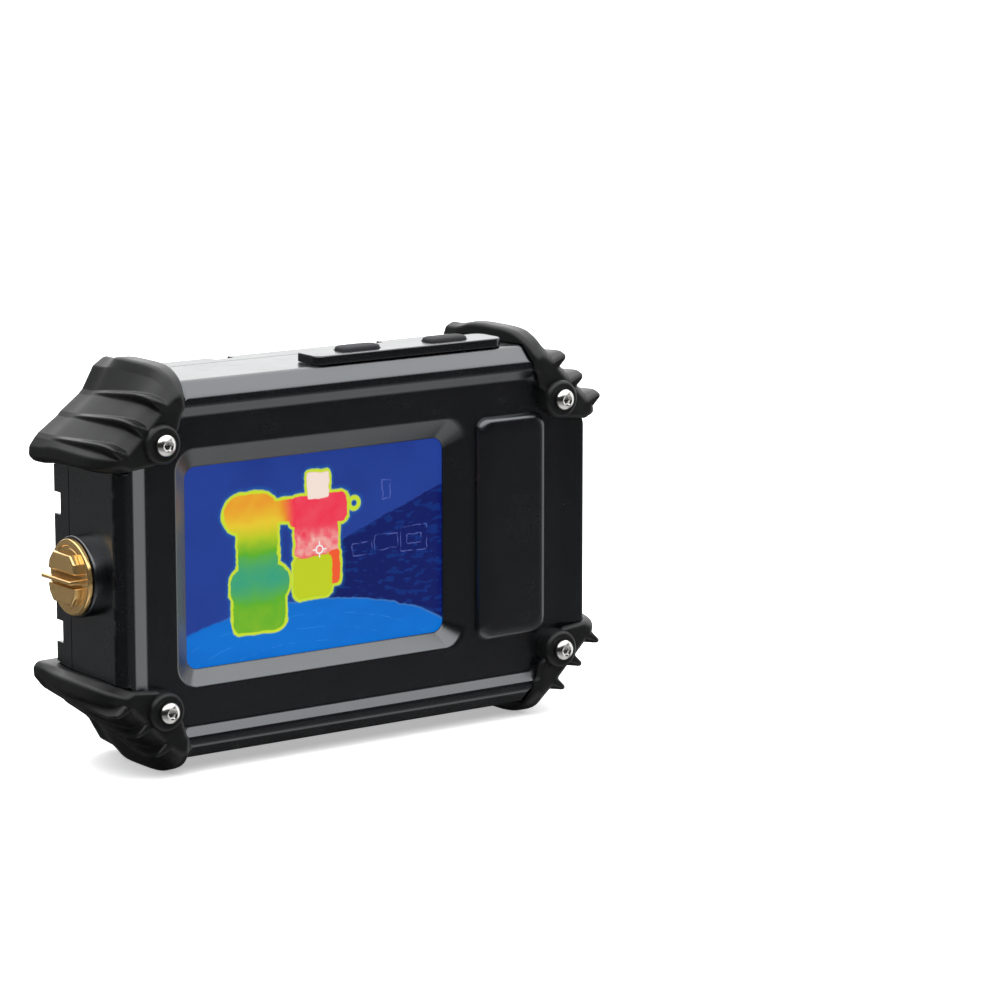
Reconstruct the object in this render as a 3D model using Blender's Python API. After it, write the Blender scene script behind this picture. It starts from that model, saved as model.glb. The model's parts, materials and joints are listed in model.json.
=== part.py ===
"""Thermal imaging camera in a sealed, guarded housing, built as separate parts.

Sizes are millimetres in the housing frame and become metres in the meshes. Seen from the screen side, X points
right, Y points from the screen towards the lens side, and Z points up from the bottom of the shell.
"""

from math import acos, atan2, cos, hypot, pi, radians, sin

import bmesh
import bpy
from mathutils import Vector

MM = 0.001
GAP = 0.3  # clearance between pieces that touch on the real object

# Shell: an eight-sided box whose corners are cut at 45 degrees.
SHELL_W = 148.0
SHELL_H = 98.4
SHELL_D = 32.0
CORNER_CUT = 20.0
CHAMFER = 4.0
SIDE_CHAMFER = 2.0
PARTING_Y = 25.6
FRONT_WALL = 5.6
SIDE_WALL = 8.5
CAVITY_CUT = 22.0
REAR_INNER_Y = 28.5
LIP_HEIGHT = 1.2
LIP_WIDTH = 1.2

# Front face: a shallow pan, the screen's sloped frame and the raised grip pad.
PAN_DEPTH = 1.6
PAN_HALF_X = 70.4
PAN_SLOPE_X = 4.5
PAN_EDGE_Z = 6.3
PAN_SLOPE_Z = 2.6
PAN_CUT = 11.0
SCREEN = (-51.9, 28.7, 22.8, 75.6)
BEZEL = (-56.8, 33.0, 19.0, 81.0)
BEZEL_R = 5.0
SCREEN_R = 3.2
PAD = (36.9, 59.4, 19.4, 80.4)
PAD_RISE = 2.2

# Lens side
LENS_X = -16.2
LENS_Z = 48.8
FUNNEL_R = 27.0
RING_R = 28.6
PLATE_R = 18.5
FUNNEL_Y = 29.0
PLATE_T = 1.0
SEAL_T = 0.4
REAR_PAN_DEPTH = 1.6
TORCH_X = 12.7
TORCH_Z = 75.5
TORCH_SCREW_X = 10.4
TORCH_SCREW_Z = 8.1

# Corner guards
GUARD_REAR_Y = 38.5
GUARD_FRONT_Y = -1.6
LUG = (62.7, 83.7)
LUG_R = 5.2
LUG_Y = -3.2
TEETH = ((78.8, 84.9), (73.0, 90.7), (67.2, 96.5))
WALL_Y = (8.0, 30.0)

# Fasteners
CAP_R, CAP_H, CAP_SHANK = 2.33, 2.5, 1.25
BUTTON_R, BUTTON_H, BUTTON_SHANK = 2.8, 1.65, 1.5
SOCKET_R = 1.15
POCKET_R = 2.85
EDGE_SCREWS = ((23.8, 92.9, 0, 1), (-23.8, 92.9, 0, 1), (23.5, 5.5, 0, -1), (-23.5, 5.5, 0, -1),
               (69.4, 65.1, 1, 0), (69.4, 31.4, 1, 0), (-69.4, 65.1, -1, 0), (-69.4, 31.4, -1, 0))
GUARD_SCREWS = ((56.9, 91.6), (68.8, 79.4))
GUARD_MIDDLE = (63.0, 85.6)

# Keys
KEYPAD = (-12.1, 47.8, 3.6, 14.6)
KEYPAD_TOP = 101.0
KEY_LENGTH = 12.6
KEY_DEPTH = 5.4
KEY_Y = 9.2
KEY_TOP = 102.3
KEY_EDGE = 0.6
KEYS = (("power", 4.2), ("shutter", 32.2))
SPRING_Z = (94.3, 99.3)
SPRING_R, SPRING_WIRE = 2.9, 0.5

# Port plug on the left side
PLUG_Y = 17.6
PLUG_Z = 48.4
BOSS_R = 10.6
BOSS_X = -77.6
BOSS_ROOT_X = -73.8  # the boss reaches across the parting line, so the rear shell is cut back under it
PLUG_R = 9.9

# The housing frame's place: origin at the bottom centre of the whole object's box
FRAME_X = 2.2
FRAME_Y = -17.15
FRAME_Z = 4.0


def clear_scene():
    for obj in list(bpy.data.objects):
        bpy.data.objects.remove(obj, do_unlink=True)


def material(name, colour, roughness, metallic=0.0, emission=0.0):
    made = bpy.data.materials.new(name)
    made.use_nodes = True
    shader = made.node_tree.nodes["Principled BSDF"]
    shader.inputs["Base Color"].default_value = (*colour, 1)
    shader.inputs["Roughness"].default_value = roughness
    shader.inputs["Metallic"].default_value = metallic
    if emission:
        shader.inputs["Emission Color"].default_value = (*colour, 1)
        shader.inputs["Emission Strength"].default_value = emission
    return made


def new_rings(bm, sections):
    """Vertices for rings of (x, y, z) points in millimetres."""
    return [[bm.verts.new(Vector(p) * MM) for p in ring] for ring in sections]


def skin(bm, near, far):
    """Faces from one ring to the next."""
    for i in range(len(near)):
        j = (i + 1) % len(near)
        bm.faces.new((near[i], near[j], far[j], far[i]))


def loft(bm, sections):
    """Closed solid through equal-length rings of (x, y, z) points in millimetres."""
    rings = new_rings(bm, sections)
    for near, far in zip(rings, rings[1:]):
        skin(bm, near, far)
    bm.faces.new(rings[0][::-1])
    bm.faces.new(rings[-1])


def sleeve(*sections):
    """Closed solid with a way through it, from four rings: outer near, outer far, inner far and inner near."""
    bm = bmesh.new()
    rings = new_rings(bm, sections)
    for near, far in zip(rings, rings[1:] + rings[:1]):
        skin(bm, near, far)
    bmesh.ops.recalc_face_normals(bm, faces=bm.faces)
    return bm


def solid(sections_list):
    """One mesh from several closed lofts, with its faces pointing out."""
    bm = bmesh.new()
    for sections in sections_list:
        loft(bm, sections)
    bmesh.ops.recalc_face_normals(bm, faces=bm.faces)
    return bm


def at_y(outline, y):
    return [(x, y, z) for x, z in outline]


def at_z(outline, z):
    return [(x, y, z) for x, y in outline]


def at_x(outline, x):
    return [(x, y, z) for y, z in outline]


def box(x0, x1, y0, y1, z0, z1):
    plan = [(x0, z0), (x1, z0), (x1, z1), (x0, z1)]
    return [at_y(plan, y0), at_y(plan, y1)]


def rounded(x0, x1, z0, z1, radius, steps=3):
    """Outline of a rectangle with round corners, counter-clockwise."""
    outline = []
    for cx, cz, start in ((x1 - radius, z1 - radius, 0), (x0 + radius, z1 - radius, 90),
                          (x0 + radius, z0 + radius, 180), (x1 - radius, z0 + radius, 270)):
        for i in range(steps + 1):
            angle = radians(start + 90 * i / steps)
            outline.append((cx + radius * cos(angle), cz + radius * sin(angle)))
    return outline


def circle(cx, cz, radius, count=24, turn=0.0):
    return [(cx + radius * cos(turn + 2 * pi * i / count), cz + radius * sin(turn + 2 * pi * i / count))
            for i in range(count)]


def octagon(x0, x1, z0, z1, cut):
    return [(x0 + cut, z0), (x1 - cut, z0), (x1, z0 + cut), (x1, z1 - cut),
            (x1 - cut, z1), (x0 + cut, z1), (x0, z1 - cut), (x0, z0 + cut)]


def shell_outline(grow=0.0, side=None):
    """The shell's eight-sided outline, moved outwards by grow, or by side at its two ends."""
    ends = grow if side is None else side
    half = SHELL_W / 2 + ends
    return octagon(-half, half, -grow, SHELL_H + grow, CORNER_CUT + 0.293 * (grow + ends))


def prism(outline, y0, y1):
    return [at_y(outline, y0), at_y(outline, y1)]


def turned(cx, cz, profile, count=12):
    """Solid turned about an axis along Y, from (radius, y) pairs."""
    return [at_y(circle(cx, cz, radius, count), y) for radius, y in profile]


class Assembly:
    """Builds the named parts under one empty that carries the housing frame."""

    def __init__(self):
        self.frame = bpy.data.objects.new("housing_frame", None)
        self.frame.location = (FRAME_X * MM, FRAME_Y * MM, FRAME_Z * MM)
        bpy.context.scene.collection.objects.link(self.frame)

    def add(self, name, bm, finish, pivot=(0, 0, 0)):
        """Adds a part whose origin is at pivot, in millimetres of the housing frame."""
        origin = Vector(pivot) * MM
        bmesh.ops.translate(bm, verts=bm.verts, vec=-origin)
        bmesh.ops.triangulate(bm, faces=bm.faces)
        mesh = bpy.data.meshes.new(name)
        bm.to_mesh(mesh)
        bm.free()
        if finish:
            mesh.materials.append(finish)
        obj = bpy.data.objects.new(name, mesh)
        obj.location = origin
        obj.parent = self.frame
        bpy.context.scene.collection.objects.link(obj)
        return obj

    def shape(self, target, bm, operation):
        """Puts a Boolean on the target, with bm as its hidden operand."""
        name = f"{target.name}_{operation.lower()}_{len(target.modifiers)}"
        tool = self.add(name, bm, None, target.location / MM)
        tool.hide_render = True
        tool.display_type = "WIRE"
        modifier = target.modifiers.new(operation.title(), "BOOLEAN")
        modifier.operation = operation
        modifier.solver = "EXACT"
        modifier.object = tool

    def cut(self, target, *sections_list):
        self.shape(target, solid(sections_list), "DIFFERENCE")

    def join(self, target, *sections_list):
        for sections in sections_list:
            self.shape(target, solid([sections]), "UNION")


def hoop(outer, inner, y0, y1):
    """Closed frame between two outlines with the same number of points."""
    return sleeve(at_y(outer, y0), at_y(outer, y1), at_y(inner, y1), at_y(inner, y0))


def hexagon_ring(cx, cz, radius):
    """Twelve points round a hexagon: its corners and the middles of its sides."""
    ring = []
    for i in range(12):
        reach = radius if i % 2 == 0 else radius * cos(pi / 6)
        ring.append((cx + reach * cos(pi * i / 6), cz + reach * sin(pi * i / 6)))
    return ring


def mirrored(points, sx, sz):
    """Outline of the upper right corner moved to another corner of the shell."""
    middle = SHELL_H / 2
    return [(sx * x, middle + sz * (z - middle)) for x, z in points]


CORNERS = (("upper_right", 1, 1), ("upper_left", -1, 1), ("lower_right", 1, -1), ("lower_left", -1, -1))


def screw(cx, cz, seat_y, direction, length, kind):
    """Socket screw along Y: the head rises from seat_y in the given direction, the shank goes the other way."""
    if kind == "cap":
        shank, depth = CAP_SHANK, 1.2
        profile = ((CAP_R, 0), (CAP_R, CAP_H - 0.25), (CAP_R - 0.25, CAP_H))
    else:
        shank, depth = BUTTON_SHANK, 0.9
        profile = ((BUTTON_R, 0), (BUTTON_R, 0.35), (2.3, 1.2), (1.5, BUTTON_H))
    top = profile[-1][1]
    rings = [at_y(circle(cx, cz, shank, 12), y) for y in (seat_y - direction * length, seat_y)]
    rings += [at_y(circle(cx, cz, radius, 12), seat_y + direction * rise) for radius, rise in profile]
    rings += [at_y(hexagon_ring(cx, cz, SOCKET_R), seat_y + direction * rise) for rise in (top, top - depth)]
    return solid([rings])


def build_front_shell(parts, finish):
    outline = shell_outline()
    shell = parts.add("front_shell", solid([[at_y(shell_outline(-CHAMFER, -SIDE_CHAMFER), 0),
                                             at_y(outline, CHAMFER), at_y(outline, PARTING_Y)]]), finish)
    pan_top = octagon(-PAN_HALF_X - PAN_SLOPE_X / PAN_DEPTH, PAN_HALF_X + PAN_SLOPE_X / PAN_DEPTH,
                      PAN_EDGE_Z - PAN_SLOPE_Z / PAN_DEPTH, SHELL_H - PAN_EDGE_Z + PAN_SLOPE_Z / PAN_DEPTH,
                      PAN_CUT + 1.5)
    floor_x, floor_z = PAN_HALF_X - PAN_SLOPE_X, PAN_EDGE_Z + PAN_SLOPE_Z
    pan_floor = octagon(-floor_x, floor_x, floor_z, SHELL_H - floor_z, PAN_CUT)
    inner = SHELL_W / 2 - SIDE_WALL
    cavity = octagon(-inner, inner, SIDE_WALL, SHELL_H - SIDE_WALL, CAVITY_CUT)
    parts.cut(shell, [at_y(pan_top, -1), at_y(pan_floor, PAN_DEPTH)], prism(cavity, FRONT_WALL, PARTING_Y + 1))
    slope = 0.1 / (FRONT_WALL - 0.4 - PAN_DEPTH)
    x0, x1, z0, z1 = (a + (a - b) * slope for a, b in zip(BEZEL, SCREEN))
    parts.cut(shell, [at_y(rounded(x0, x1, z0, z1, BEZEL_R, 5), PAN_DEPTH - 0.1),
                      at_y(rounded(*SCREEN, SCREEN_R, 5), FRONT_WALL - 0.4),
                      at_y(rounded(*SCREEN, SCREEN_R, 5), FRONT_WALL + 1)])
    px0, px1, pz0, pz1 = PAD
    edge = 1.7
    parts.join(shell, [at_y(rounded(*PAD, 3.4, 4), PAN_DEPTH + 2), at_y(rounded(*PAD, 3.4, 4), PAN_DEPTH - 0.5),
                       at_y(rounded(px0 + 0.6, px1 - 0.6, pz0 + 0.6, pz1 - 0.6, 2.9, 4), 0.2),
                       at_y(rounded(px0 + edge, px1 - edge, pz0 + edge, pz1 - edge, 2.2, 4),
                            PAN_DEPTH - PAD_RISE)])
    holes = [turned(x, z, ((1.6, 13.5), (1.6, PARTING_Y + 1))) for x, z, _, _ in EDGE_SCREWS]
    for _, sx, sz in CORNERS:
        (mx, mz), (lx, lz) = mirrored((GUARD_MIDDLE, LUG), sx, sz)
        holes.append(turned(mx, mz, ((1.6, 16.0), (1.6, PARTING_Y + 1))))
        holes.append(turned(lx, lz, ((LUG_R + GAP, -2), (LUG_R + GAP, 3.0), (1.8, 3.0), (1.8, 12.5)), 20))
    parts.cut(shell, *holes)
    parts.shape(shell, gasket_ring(GAP, PARTING_Y - 0.6, PARTING_Y + 0.5), "DIFFERENCE")
    boss = [at_x(circle(PLUG_Y, PLUG_Z, BOSS_R, 28), x) for x in (BOSS_ROOT_X, BOSS_X + 0.4)]
    boss.append(at_x(circle(PLUG_Y, PLUG_Z, BOSS_R - 0.4, 28), BOSS_X))
    parts.join(shell, boss)
    bore = [at_x(circle(PLUG_Y, PLUG_Z, r, 20), x) for r, x in ((9.0, BOSS_X - 1), (9.0, BOSS_X + 1.3),
                                                                 (6.4, BOSS_X + 1.3), (6.4, -60.0))]
    parts.cut(shell, bore)
    wells = []
    for _, x in KEYS:
        floor = SPRING_Z[0] - GAP
        well = ((3.3, SHELL_H + 1), (3.3, floor), (1.9, floor), (1.9, 85.0))
        wells.append([at_z(circle(x, KEY_Y, r, 16), z) for r, z in well])
    parts.cut(shell, *wells)
    return shell


def gasket_ring(grow, y0, y1):
    """The parting seal, or the groove for it when grow is the clearance on each side."""
    half, top = SHELL_W / 2, SHELL_H
    rings = []
    for inset, corner, sign in ((0.9, 5.2, 1), (1.9, 6.2, -1)):
        side = inset - sign * grow
        line = half + top - CORNER_CUT - (corner - sign * grow) * 2 ** 0.5
        rings.append(octagon(-half + side, half - side, side, top - side, half - side + top - side - line))
    return hoop(rings[0], rings[1], y0, y1)


def build_rear_shell(parts, finish):
    rim_y = SHELL_D + LIP_HEIGHT
    shell = parts.add("rear_shell", solid([prism(shell_outline(), PARTING_Y + GAP, rim_y)]), finish)
    inner = SHELL_W / 2 - SIDE_WALL
    cavity = octagon(-inner, inner, SIDE_WALL, SHELL_H - SIDE_WALL, CAVITY_CUT)
    parts.cut(shell, prism(shell_outline(-LIP_WIDTH), SHELL_D, rim_y + 1),
              prism(cavity, PARTING_Y - 1, REAR_INNER_Y))
    pan_x, pan_z0, pan_z1, cut = 66.3, 7.75, 88.9, 13.1
    outer = octagon(-pan_x - 1.9, pan_x + 1.9, pan_z0 - 1.9, pan_z1 + 1.9, cut + 1.1)
    floor = octagon(-pan_x + 3.0, pan_x - 3.0, pan_z0 + 3.0, pan_z1 - 3.0, cut - 1.8)
    parts.cut(shell, [at_y(outer, SHELL_D + 1), at_y(floor, SHELL_D - REAR_PAN_DEPTH)])
    parts.join(shell, prism(island_outline(), REAR_INNER_Y - 1, SHELL_D),
               turned(LENS_X, LENS_Z, ((30.0, 24.6), (30.0, REAR_INNER_Y + 0.5)), 32))
    seat_y = FUNNEL_Y - PLATE_T - SEAL_T - 2 * GAP
    funnel = ((PLATE_R + GAP, seat_y), (PLATE_R + GAP, FUNNEL_Y), (FUNNEL_R, SHELL_D), (FUNNEL_R, SHELL_D + 1))
    parts.cut(shell, turned(LENS_X, LENS_Z, funnel, 48),
              [at_y(rounded(TORCH_X - 5.9, TORCH_X + 5.9, TORCH_Z - 3.8, TORCH_Z + 3.8, 3.8, 4), y)
               for y in (24.0, SHELL_D + 1)])
    window = rounded(LENS_X - 7.3, LENS_X + 7.3, LENS_Z - 13.4, LENS_Z + 12.4, 2.0)
    parts.cut(shell, prism(window, 24.0, seat_y + 0.5))
    pockets, holes = [], []
    for x, z, nx, nz in EDGE_SCREWS:
        pockets.append(prism(edge_pocket(x, z, nx, nz), SHELL_D - 1.9, rim_y + 1))
        holes.append(turned(x, z, ((1.6, PARTING_Y - 1), (1.6, SHELL_D - 1.5))))
    for _, sx, sz in CORNERS:
        pockets.append(prism(mirrored(guard_plate(GAP), sx, sz), SHELL_D, rim_y + 1))
        middle, = mirrored((GUARD_MIDDLE,), sx, sz)
        holes.append(turned(*middle, ((1.6, PARTING_Y - 1), (1.6, rim_y + 1))))
        for x, z in mirrored(GUARD_SCREWS, sx, sz):
            holes.append(turned(x, z, ((1.8, 27.0), (1.8, rim_y + 1))))
    parts.cut(shell, *pockets)
    parts.cut(shell, *holes)
    parts.shape(shell, gasket_ring(GAP, PARTING_Y - 0.5, PARTING_Y + 1.0), "DIFFERENCE")
    parts.cut(shell, [at_x(circle(PLUG_Y, PLUG_Z, BOSS_R + GAP, 28), x) for x in (BOSS_ROOT_X + GAP, BOSS_X)])


def island_outline():
    """The raised field round lens and torch: a straight side, an arc under the lens and a slanting side."""
    corner = (42.8, 91.5)
    dx, dz = corner[0] - LENS_X, corner[1] - LENS_Z
    end = atan2(dz, dx) - acos(RING_R / hypot(dx, dz))
    start = -pi
    angles = [start + (end - start) * i / 24 for i in range(25)]
    arc = [(LENS_X + RING_R * cos(a), LENS_Z + RING_R * sin(a)) for a in angles]
    return [(LENS_X - RING_R, 91.5)] + arc + [corner]


def edge_pocket(x, z, nx, nz):
    """U-shaped pocket round an edge screw, open towards the shell's edge in the direction (nx, nz)."""
    facing = atan2(nz, nx)
    angles = [facing + pi / 2 + pi * i / 8 for i in range(9)]
    arc = [(x + POCKET_R * cos(a), z + POCKET_R * sin(a)) for a in angles]
    reach = 9.0
    return arc + [(end[0] + nx * reach, end[1] + nz * reach) for end in (arc[-1], arc[0])]


def guard_plate(grow=0.0):
    """Outline of a guard's flat rear plate in the upper right corner."""
    g = grow
    return [(51.2 - g, 95.3), (51.2 - g, 92.6 - g), (53.4 - g, 88.7 - g), (64.4 - g, 78.0 - g),
            (67.3 - g, 75.3 - g), (77.4 + g, 75.5 - g), (78.8 + g, 77.0 - g), (78.6 + g, 79.6),
            (59.2, 98.9 + g), (55.6, 101.2 + g), (53.0 - g, 100.0 + g)]


def build_guards(parts, finish):
    """Four corner guards: a plate on the lens side, a wall round the corner, three teeth and a front lug."""
    for place, sx, sz in CORNERS:
        flip = lambda points: mirrored(points, sx, sz)
        rear = guard_plate()
        wall = [(52.2, 93.0), (53.6, 92.0), (54.4, 89.0), (65.4, 78.5), (68.0, 76.6), (75.5, 76.2),
                (78.8, 77.4), (78.8, 80.6), (60.2, 99.6), (58.6, 102.4), (53.6, 102.4)]
        front = [(55.4, 92.0), (56.2, 90.8), (57.4, 86.8), (61.4, 80.0), (64.0, 78.4), (71.5, 77.6),
                 (74.4, 79.0), (74.0, 80.4), (58.8, 95.2), (56.8, 96.0), (55.6, 94.6)]
        sections = [at_y(flip(front), GUARD_FRONT_Y)] + [at_y(flip(wall), y) for y in WALL_Y]
        sections += [at_y(flip(rear), y) for y in (33.0, GUARD_REAR_Y)]
        guard = parts.add(f"guard_{place}", solid([sections]), finish)
        for tip_x, tip_z in TEETH:
            base = [(tip_x, tip_z), (tip_x - 8.6, tip_z), (tip_x - 4.6, tip_z - 4.8)]
            low = [(tip_x - 4.0, tip_z - 1.8), (tip_x - 6.6, tip_z - 1.8), (tip_x - 5.6, tip_z - 3.4)]
            parts.join(guard, [at_y(flip(base), GUARD_FRONT_Y + 0.4), at_y(flip(base), 1.4),
                               at_y(flip(low), 25.0)])
        parts.cut(guard, [at_y(shell_outline(GAP - CHAMFER, GAP - SIDE_CHAMFER), -GAP),
                          at_y(shell_outline(GAP), CHAMFER - GAP), at_y(shell_outline(GAP), SHELL_D + GAP)])
        lug, = flip((LUG,))
        parts.join(guard, turned(*lug, ((LUG_R, 2.7), (LUG_R, LUG_Y + 0.4), (LUG_R - 0.4, LUG_Y)), 20))
        holes = [turned(*lug, ((1.8, 4), (1.8, LUG_Y - 1)))]
        for x, z in flip(GUARD_SCREWS):
            holes.append(turned(x, z, ((1.8, 30), (1.8, GUARD_REAR_Y - 1.0), (3.1, GUARD_REAR_Y - 1.0),
                                       (3.1, GUARD_REAR_Y + 1))))
        middle, = flip((GUARD_MIDDLE,))
        holes.append(turned(*middle, ((1.6, 30), (1.6, 35.0), (2.75, 35.0), (2.75, GUARD_REAR_Y + 1))))
        parts.cut(guard, *holes)


def build_fasteners(parts, finish):
    for number, (x, z, _, _) in enumerate(EDGE_SCREWS, 1):
        parts.add(f"edge_screw_{number}", screw(x, z, SHELL_D - 1.6, 1, 16.0, "cap"), finish)
    for place, sx, sz in CORNERS:
        (lx, lz), (mx, mz), (ax, az), (bx, bz) = mirrored((LUG, GUARD_MIDDLE, *GUARD_SCREWS), sx, sz)
        parts.add(f"lug_screw_{place}", screw(lx, lz, LUG_Y - GAP, -1, 15.0, "button"), finish)
        parts.add(f"corner_screw_{place}", screw(mx, mz, 35.0 + GAP, 1, 18.5, "cap"), finish)
        parts.add(f"guard_screw_a_{place}", screw(ax, az, GUARD_REAR_Y - 0.7, 1, 10.0, "button"), finish)
        parts.add(f"guard_screw_b_{place}", screw(bx, bz, GUARD_REAR_Y - 0.7, 1, 10.0, "button"), finish)


def build_screen(parts, black, glass, rubber):
    x0, x1, z0, z1 = SCREEN
    outer = rounded(x0 - 3.6, x1 + 3.6, z0 - 3.6, z1 + 3.6, 3.0)
    inner = rounded(x0 - 0.8, x1 + 0.8, z0 - 0.8, z1 + 0.8, 3.0)
    y = FRONT_WALL + GAP
    parts.add("window_seal", hoop(outer, inner, y, y + SEAL_T), rubber)
    parts.add("display_window", solid([prism(outer, y + SEAL_T + GAP, y + SEAL_T + GAP + 1.8)]), glass)
    parts.add("display_panel", solid([box(x0 - 2.2, x1 + 2.2, 9.1, 11.4, z0 - 2.2, z1 + 2.2)]), black)


def build_internals(parts, finishes):
    board, black, steel, cell = finishes
    chassis = parts.add("chassis", solid([prism(octagon(-64.6, 64.6, 9.4, 89.0, 22.4), 11.7, 13.2)]), steel)
    windows = ((-52, 34), (-8, 30), (34, 18))
    parts.cut(chassis, *[prism(rounded(x, x + w, 20, 78, 3.0), 10, 15) for x, w in windows])
    circuit = parts.add("main_board", solid([prism(octagon(-56.4, 30.0, 12.0, 80.0, 11.0), 13.5, 14.7)]), board)
    parts.join(circuit, box(-50, -36, 14.0, 16.6, 26, 40), box(6, 22, 14.0, 16.2, 20, 34))
    pack = parts.add("battery_pack", solid([prism(rounded(33.0, 60.0, 29.0, 71.0, 2.5), 13.5, 24.0)]), cell)
    parts.join(pack, box(42, 54, 16.0, 20.0, 26.5, 31.0))
    axis_z = LENS_Z + 5.1
    core_outline = rounded(LENS_X - 12, LENS_X + 12, 48.4, 66.0, 1.0)
    core = parts.add("thermal_core", solid([prism(core_outline, 15.0, 22.0)]), black)
    parts.join(core, turned(LENS_X, axis_z, ((7.2, 21.5), (7.2, 22.7)), 16))
    barrel = ((5.4, 23.0), (5.4, 24.2), (4.6, 24.9))
    parts.add("thermal_lens", solid([turned(LENS_X, axis_z, barrel, 20)]), steel)
    camera = parts.add("visible_camera", solid([box(LENS_X - 5, LENS_X + 5, 15.0, 21.0, 37.6, 47.6)]), black)
    parts.join(camera, turned(LENS_X, LENS_Z - 6.2, ((3.6, 20.5), (3.6, 24.6)), 16))


def build_lens_unit(parts, finishes):
    black, steel, rubber, mint, glass = finishes
    y = FUNNEL_Y - PLATE_T
    upper = [(LENS_X - 7, LENS_Z - 0.7), (LENS_X + 7, LENS_Z - 0.7)]
    upper += [(LENS_X + 7 * cos(pi * i / 16), LENS_Z + 5.1 + 7 * sin(pi * i / 16)) for i in range(17)]
    disc = turned(LENS_X, LENS_Z, ((PLATE_R, y), (PLATE_R, FUNNEL_Y)), 48)
    plate = parts.add("lens_plate", solid([disc]), steel)
    parts.cut(plate, prism(upper, y - 1, FUNNEL_Y + 1),
              prism(rounded(LENS_X - 7, LENS_X + 7, LENS_Z - 13.1, LENS_Z - 1.7, 2.4), y - 1, FUNNEL_Y + 1))
    parts.add("lens_seal", hoop(circle(LENS_X, LENS_Z, 18.3, 32), circle(LENS_X, LENS_Z, 15.8, 32),
                                y - GAP - SEAL_T, y - GAP), rubber)
    bezel = rounded(LENS_X - 7.0, LENS_X + 7.0, LENS_Z - 13.1, LENS_Z + 12.1, 1.7)
    carrier = parts.add("lens_carrier", solid([prism(bezel, 25.2, 27.4)]), black)
    parts.cut(carrier, turned(LENS_X, LENS_Z + 5.1, ((5.0, 24), (5.0, 29)), 24),
              prism(rounded(LENS_X - 4.0, LENS_X + 4.0, LENS_Z - 10.2, LENS_Z - 2.2, 0.8), 24, 29))
    parts.add("ir_window", solid([turned(LENS_X, LENS_Z + 5.1, ((4.7, 25.4), (4.7, 27.5)), 32)]), mint)
    pane = rounded(LENS_X - 3.7, LENS_X + 3.7, LENS_Z - 9.9, LENS_Z - 2.5, 0.6)
    parts.add("camera_window", solid([prism(pane, 25.4, 27.5)]), glass)


def build_torch(parts, finishes):
    steel, glass, rubber, board = finishes
    x, z = TORCH_X, TORCH_Z
    plate = parts.add("torch_plate", solid([prism(rounded(x - 8.65, x + 8.65, z - 6.45, z + 6.45, 4.8, 4),
                                                  SHELL_D + GAP, SHELL_D + GAP + PLATE_T)]), steel)
    parts.cut(plate, prism(rounded(x - 5.6, x + 5.6, z - 3.5, z + 3.5, 3.5, 5), SHELL_D - 1, SHELL_D + 3))
    stadium = rounded(x - 5.6, x + 5.6, z - 3.5, z + 3.5, 3.45, 4)
    parts.add("torch_window", solid([prism(stadium, 30.2, SHELL_D - 0.1)]), glass)
    parts.add("torch_seal", hoop(stadium, rounded(x - 4.4, x + 4.4, z - 2.3, z + 2.3, 2.25, 4), 29.3, 29.9),
              rubber)
    lamp = parts.add("torch_board", solid([box(x - 7.2, x + 7.2, 24.6, 25.6, z - 4.8, z + 6)]), board)
    parts.join(lamp, turned(x, z, ((1.8, 25.4), (1.8, 27.2), (1.2, 27.8)), 12))


def key_outline(x, grow, radius):
    half_x, half_y = KEY_LENGTH / 2 + grow, KEY_DEPTH / 2 + grow
    return rounded(x - half_x, x + half_x, KEY_Y - half_y, KEY_Y + half_y, radius)


def build_keys(parts, finishes):
    black, rubber, steel, board = finishes
    x0, x1, y0, y1 = KEYPAD
    edge = 0.7
    pad = parts.add("keypad_frame", solid([[at_z(rounded(x0, x1, y0, y1, 2.4), SHELL_H + GAP),
                                            at_z(rounded(x0, x1, y0, y1, 2.4), KEYPAD_TOP - edge),
                                            at_z(rounded(x0 + edge, x1 - edge, y0 + edge, y1 - edge, 1.7),
                                                 KEYPAD_TOP)]]), black)
    slots = []
    for _, x in KEYS:
        slots.append([at_z(key_outline(x, GAP, 2.2), z) for z in (SHELL_H - 1, KEYPAD_TOP + 1)])
    parts.cut(pad, *slots)
    for name, x in KEYS:
        cap = [at_z(key_outline(x, 0.0, 1.9), z) for z in (SPRING_Z[1] + GAP, KEY_TOP - KEY_EDGE)]
        cap.append(at_z(key_outline(x, -KEY_EDGE, 1.3), KEY_TOP))
        key = parts.add(f"{name}_button", solid([cap]), rubber, (x, KEY_Y, SPRING_Z[1]))
        parts.join(key, [at_z(circle(x, KEY_Y, 1.5, 12), z) for z in (88.6, SPRING_Z[1] + 0.8)])
        outer, inner = (circle(x, KEY_Y, r, 16) for r in (SPRING_R, SPRING_R - SPRING_WIRE))
        low, high = SPRING_Z
        coil = sleeve(at_z(outer, low), at_z(outer, high), at_z(inner, high), at_z(inner, low))
        parts.add(f"{name}_spring", coil, steel)
    board_top = 87.0
    switches = parts.add("switch_board", solid([box(-8, 44, 5.9, 11.4, board_top - 1.2, board_top)]), board)
    for _, x in KEYS:
        parts.join(switches, box(x - 1.6, x + 1.6, KEY_Y - 1.6, KEY_Y + 1.6, board_top - 0.5, board_top + 0.4))


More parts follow.
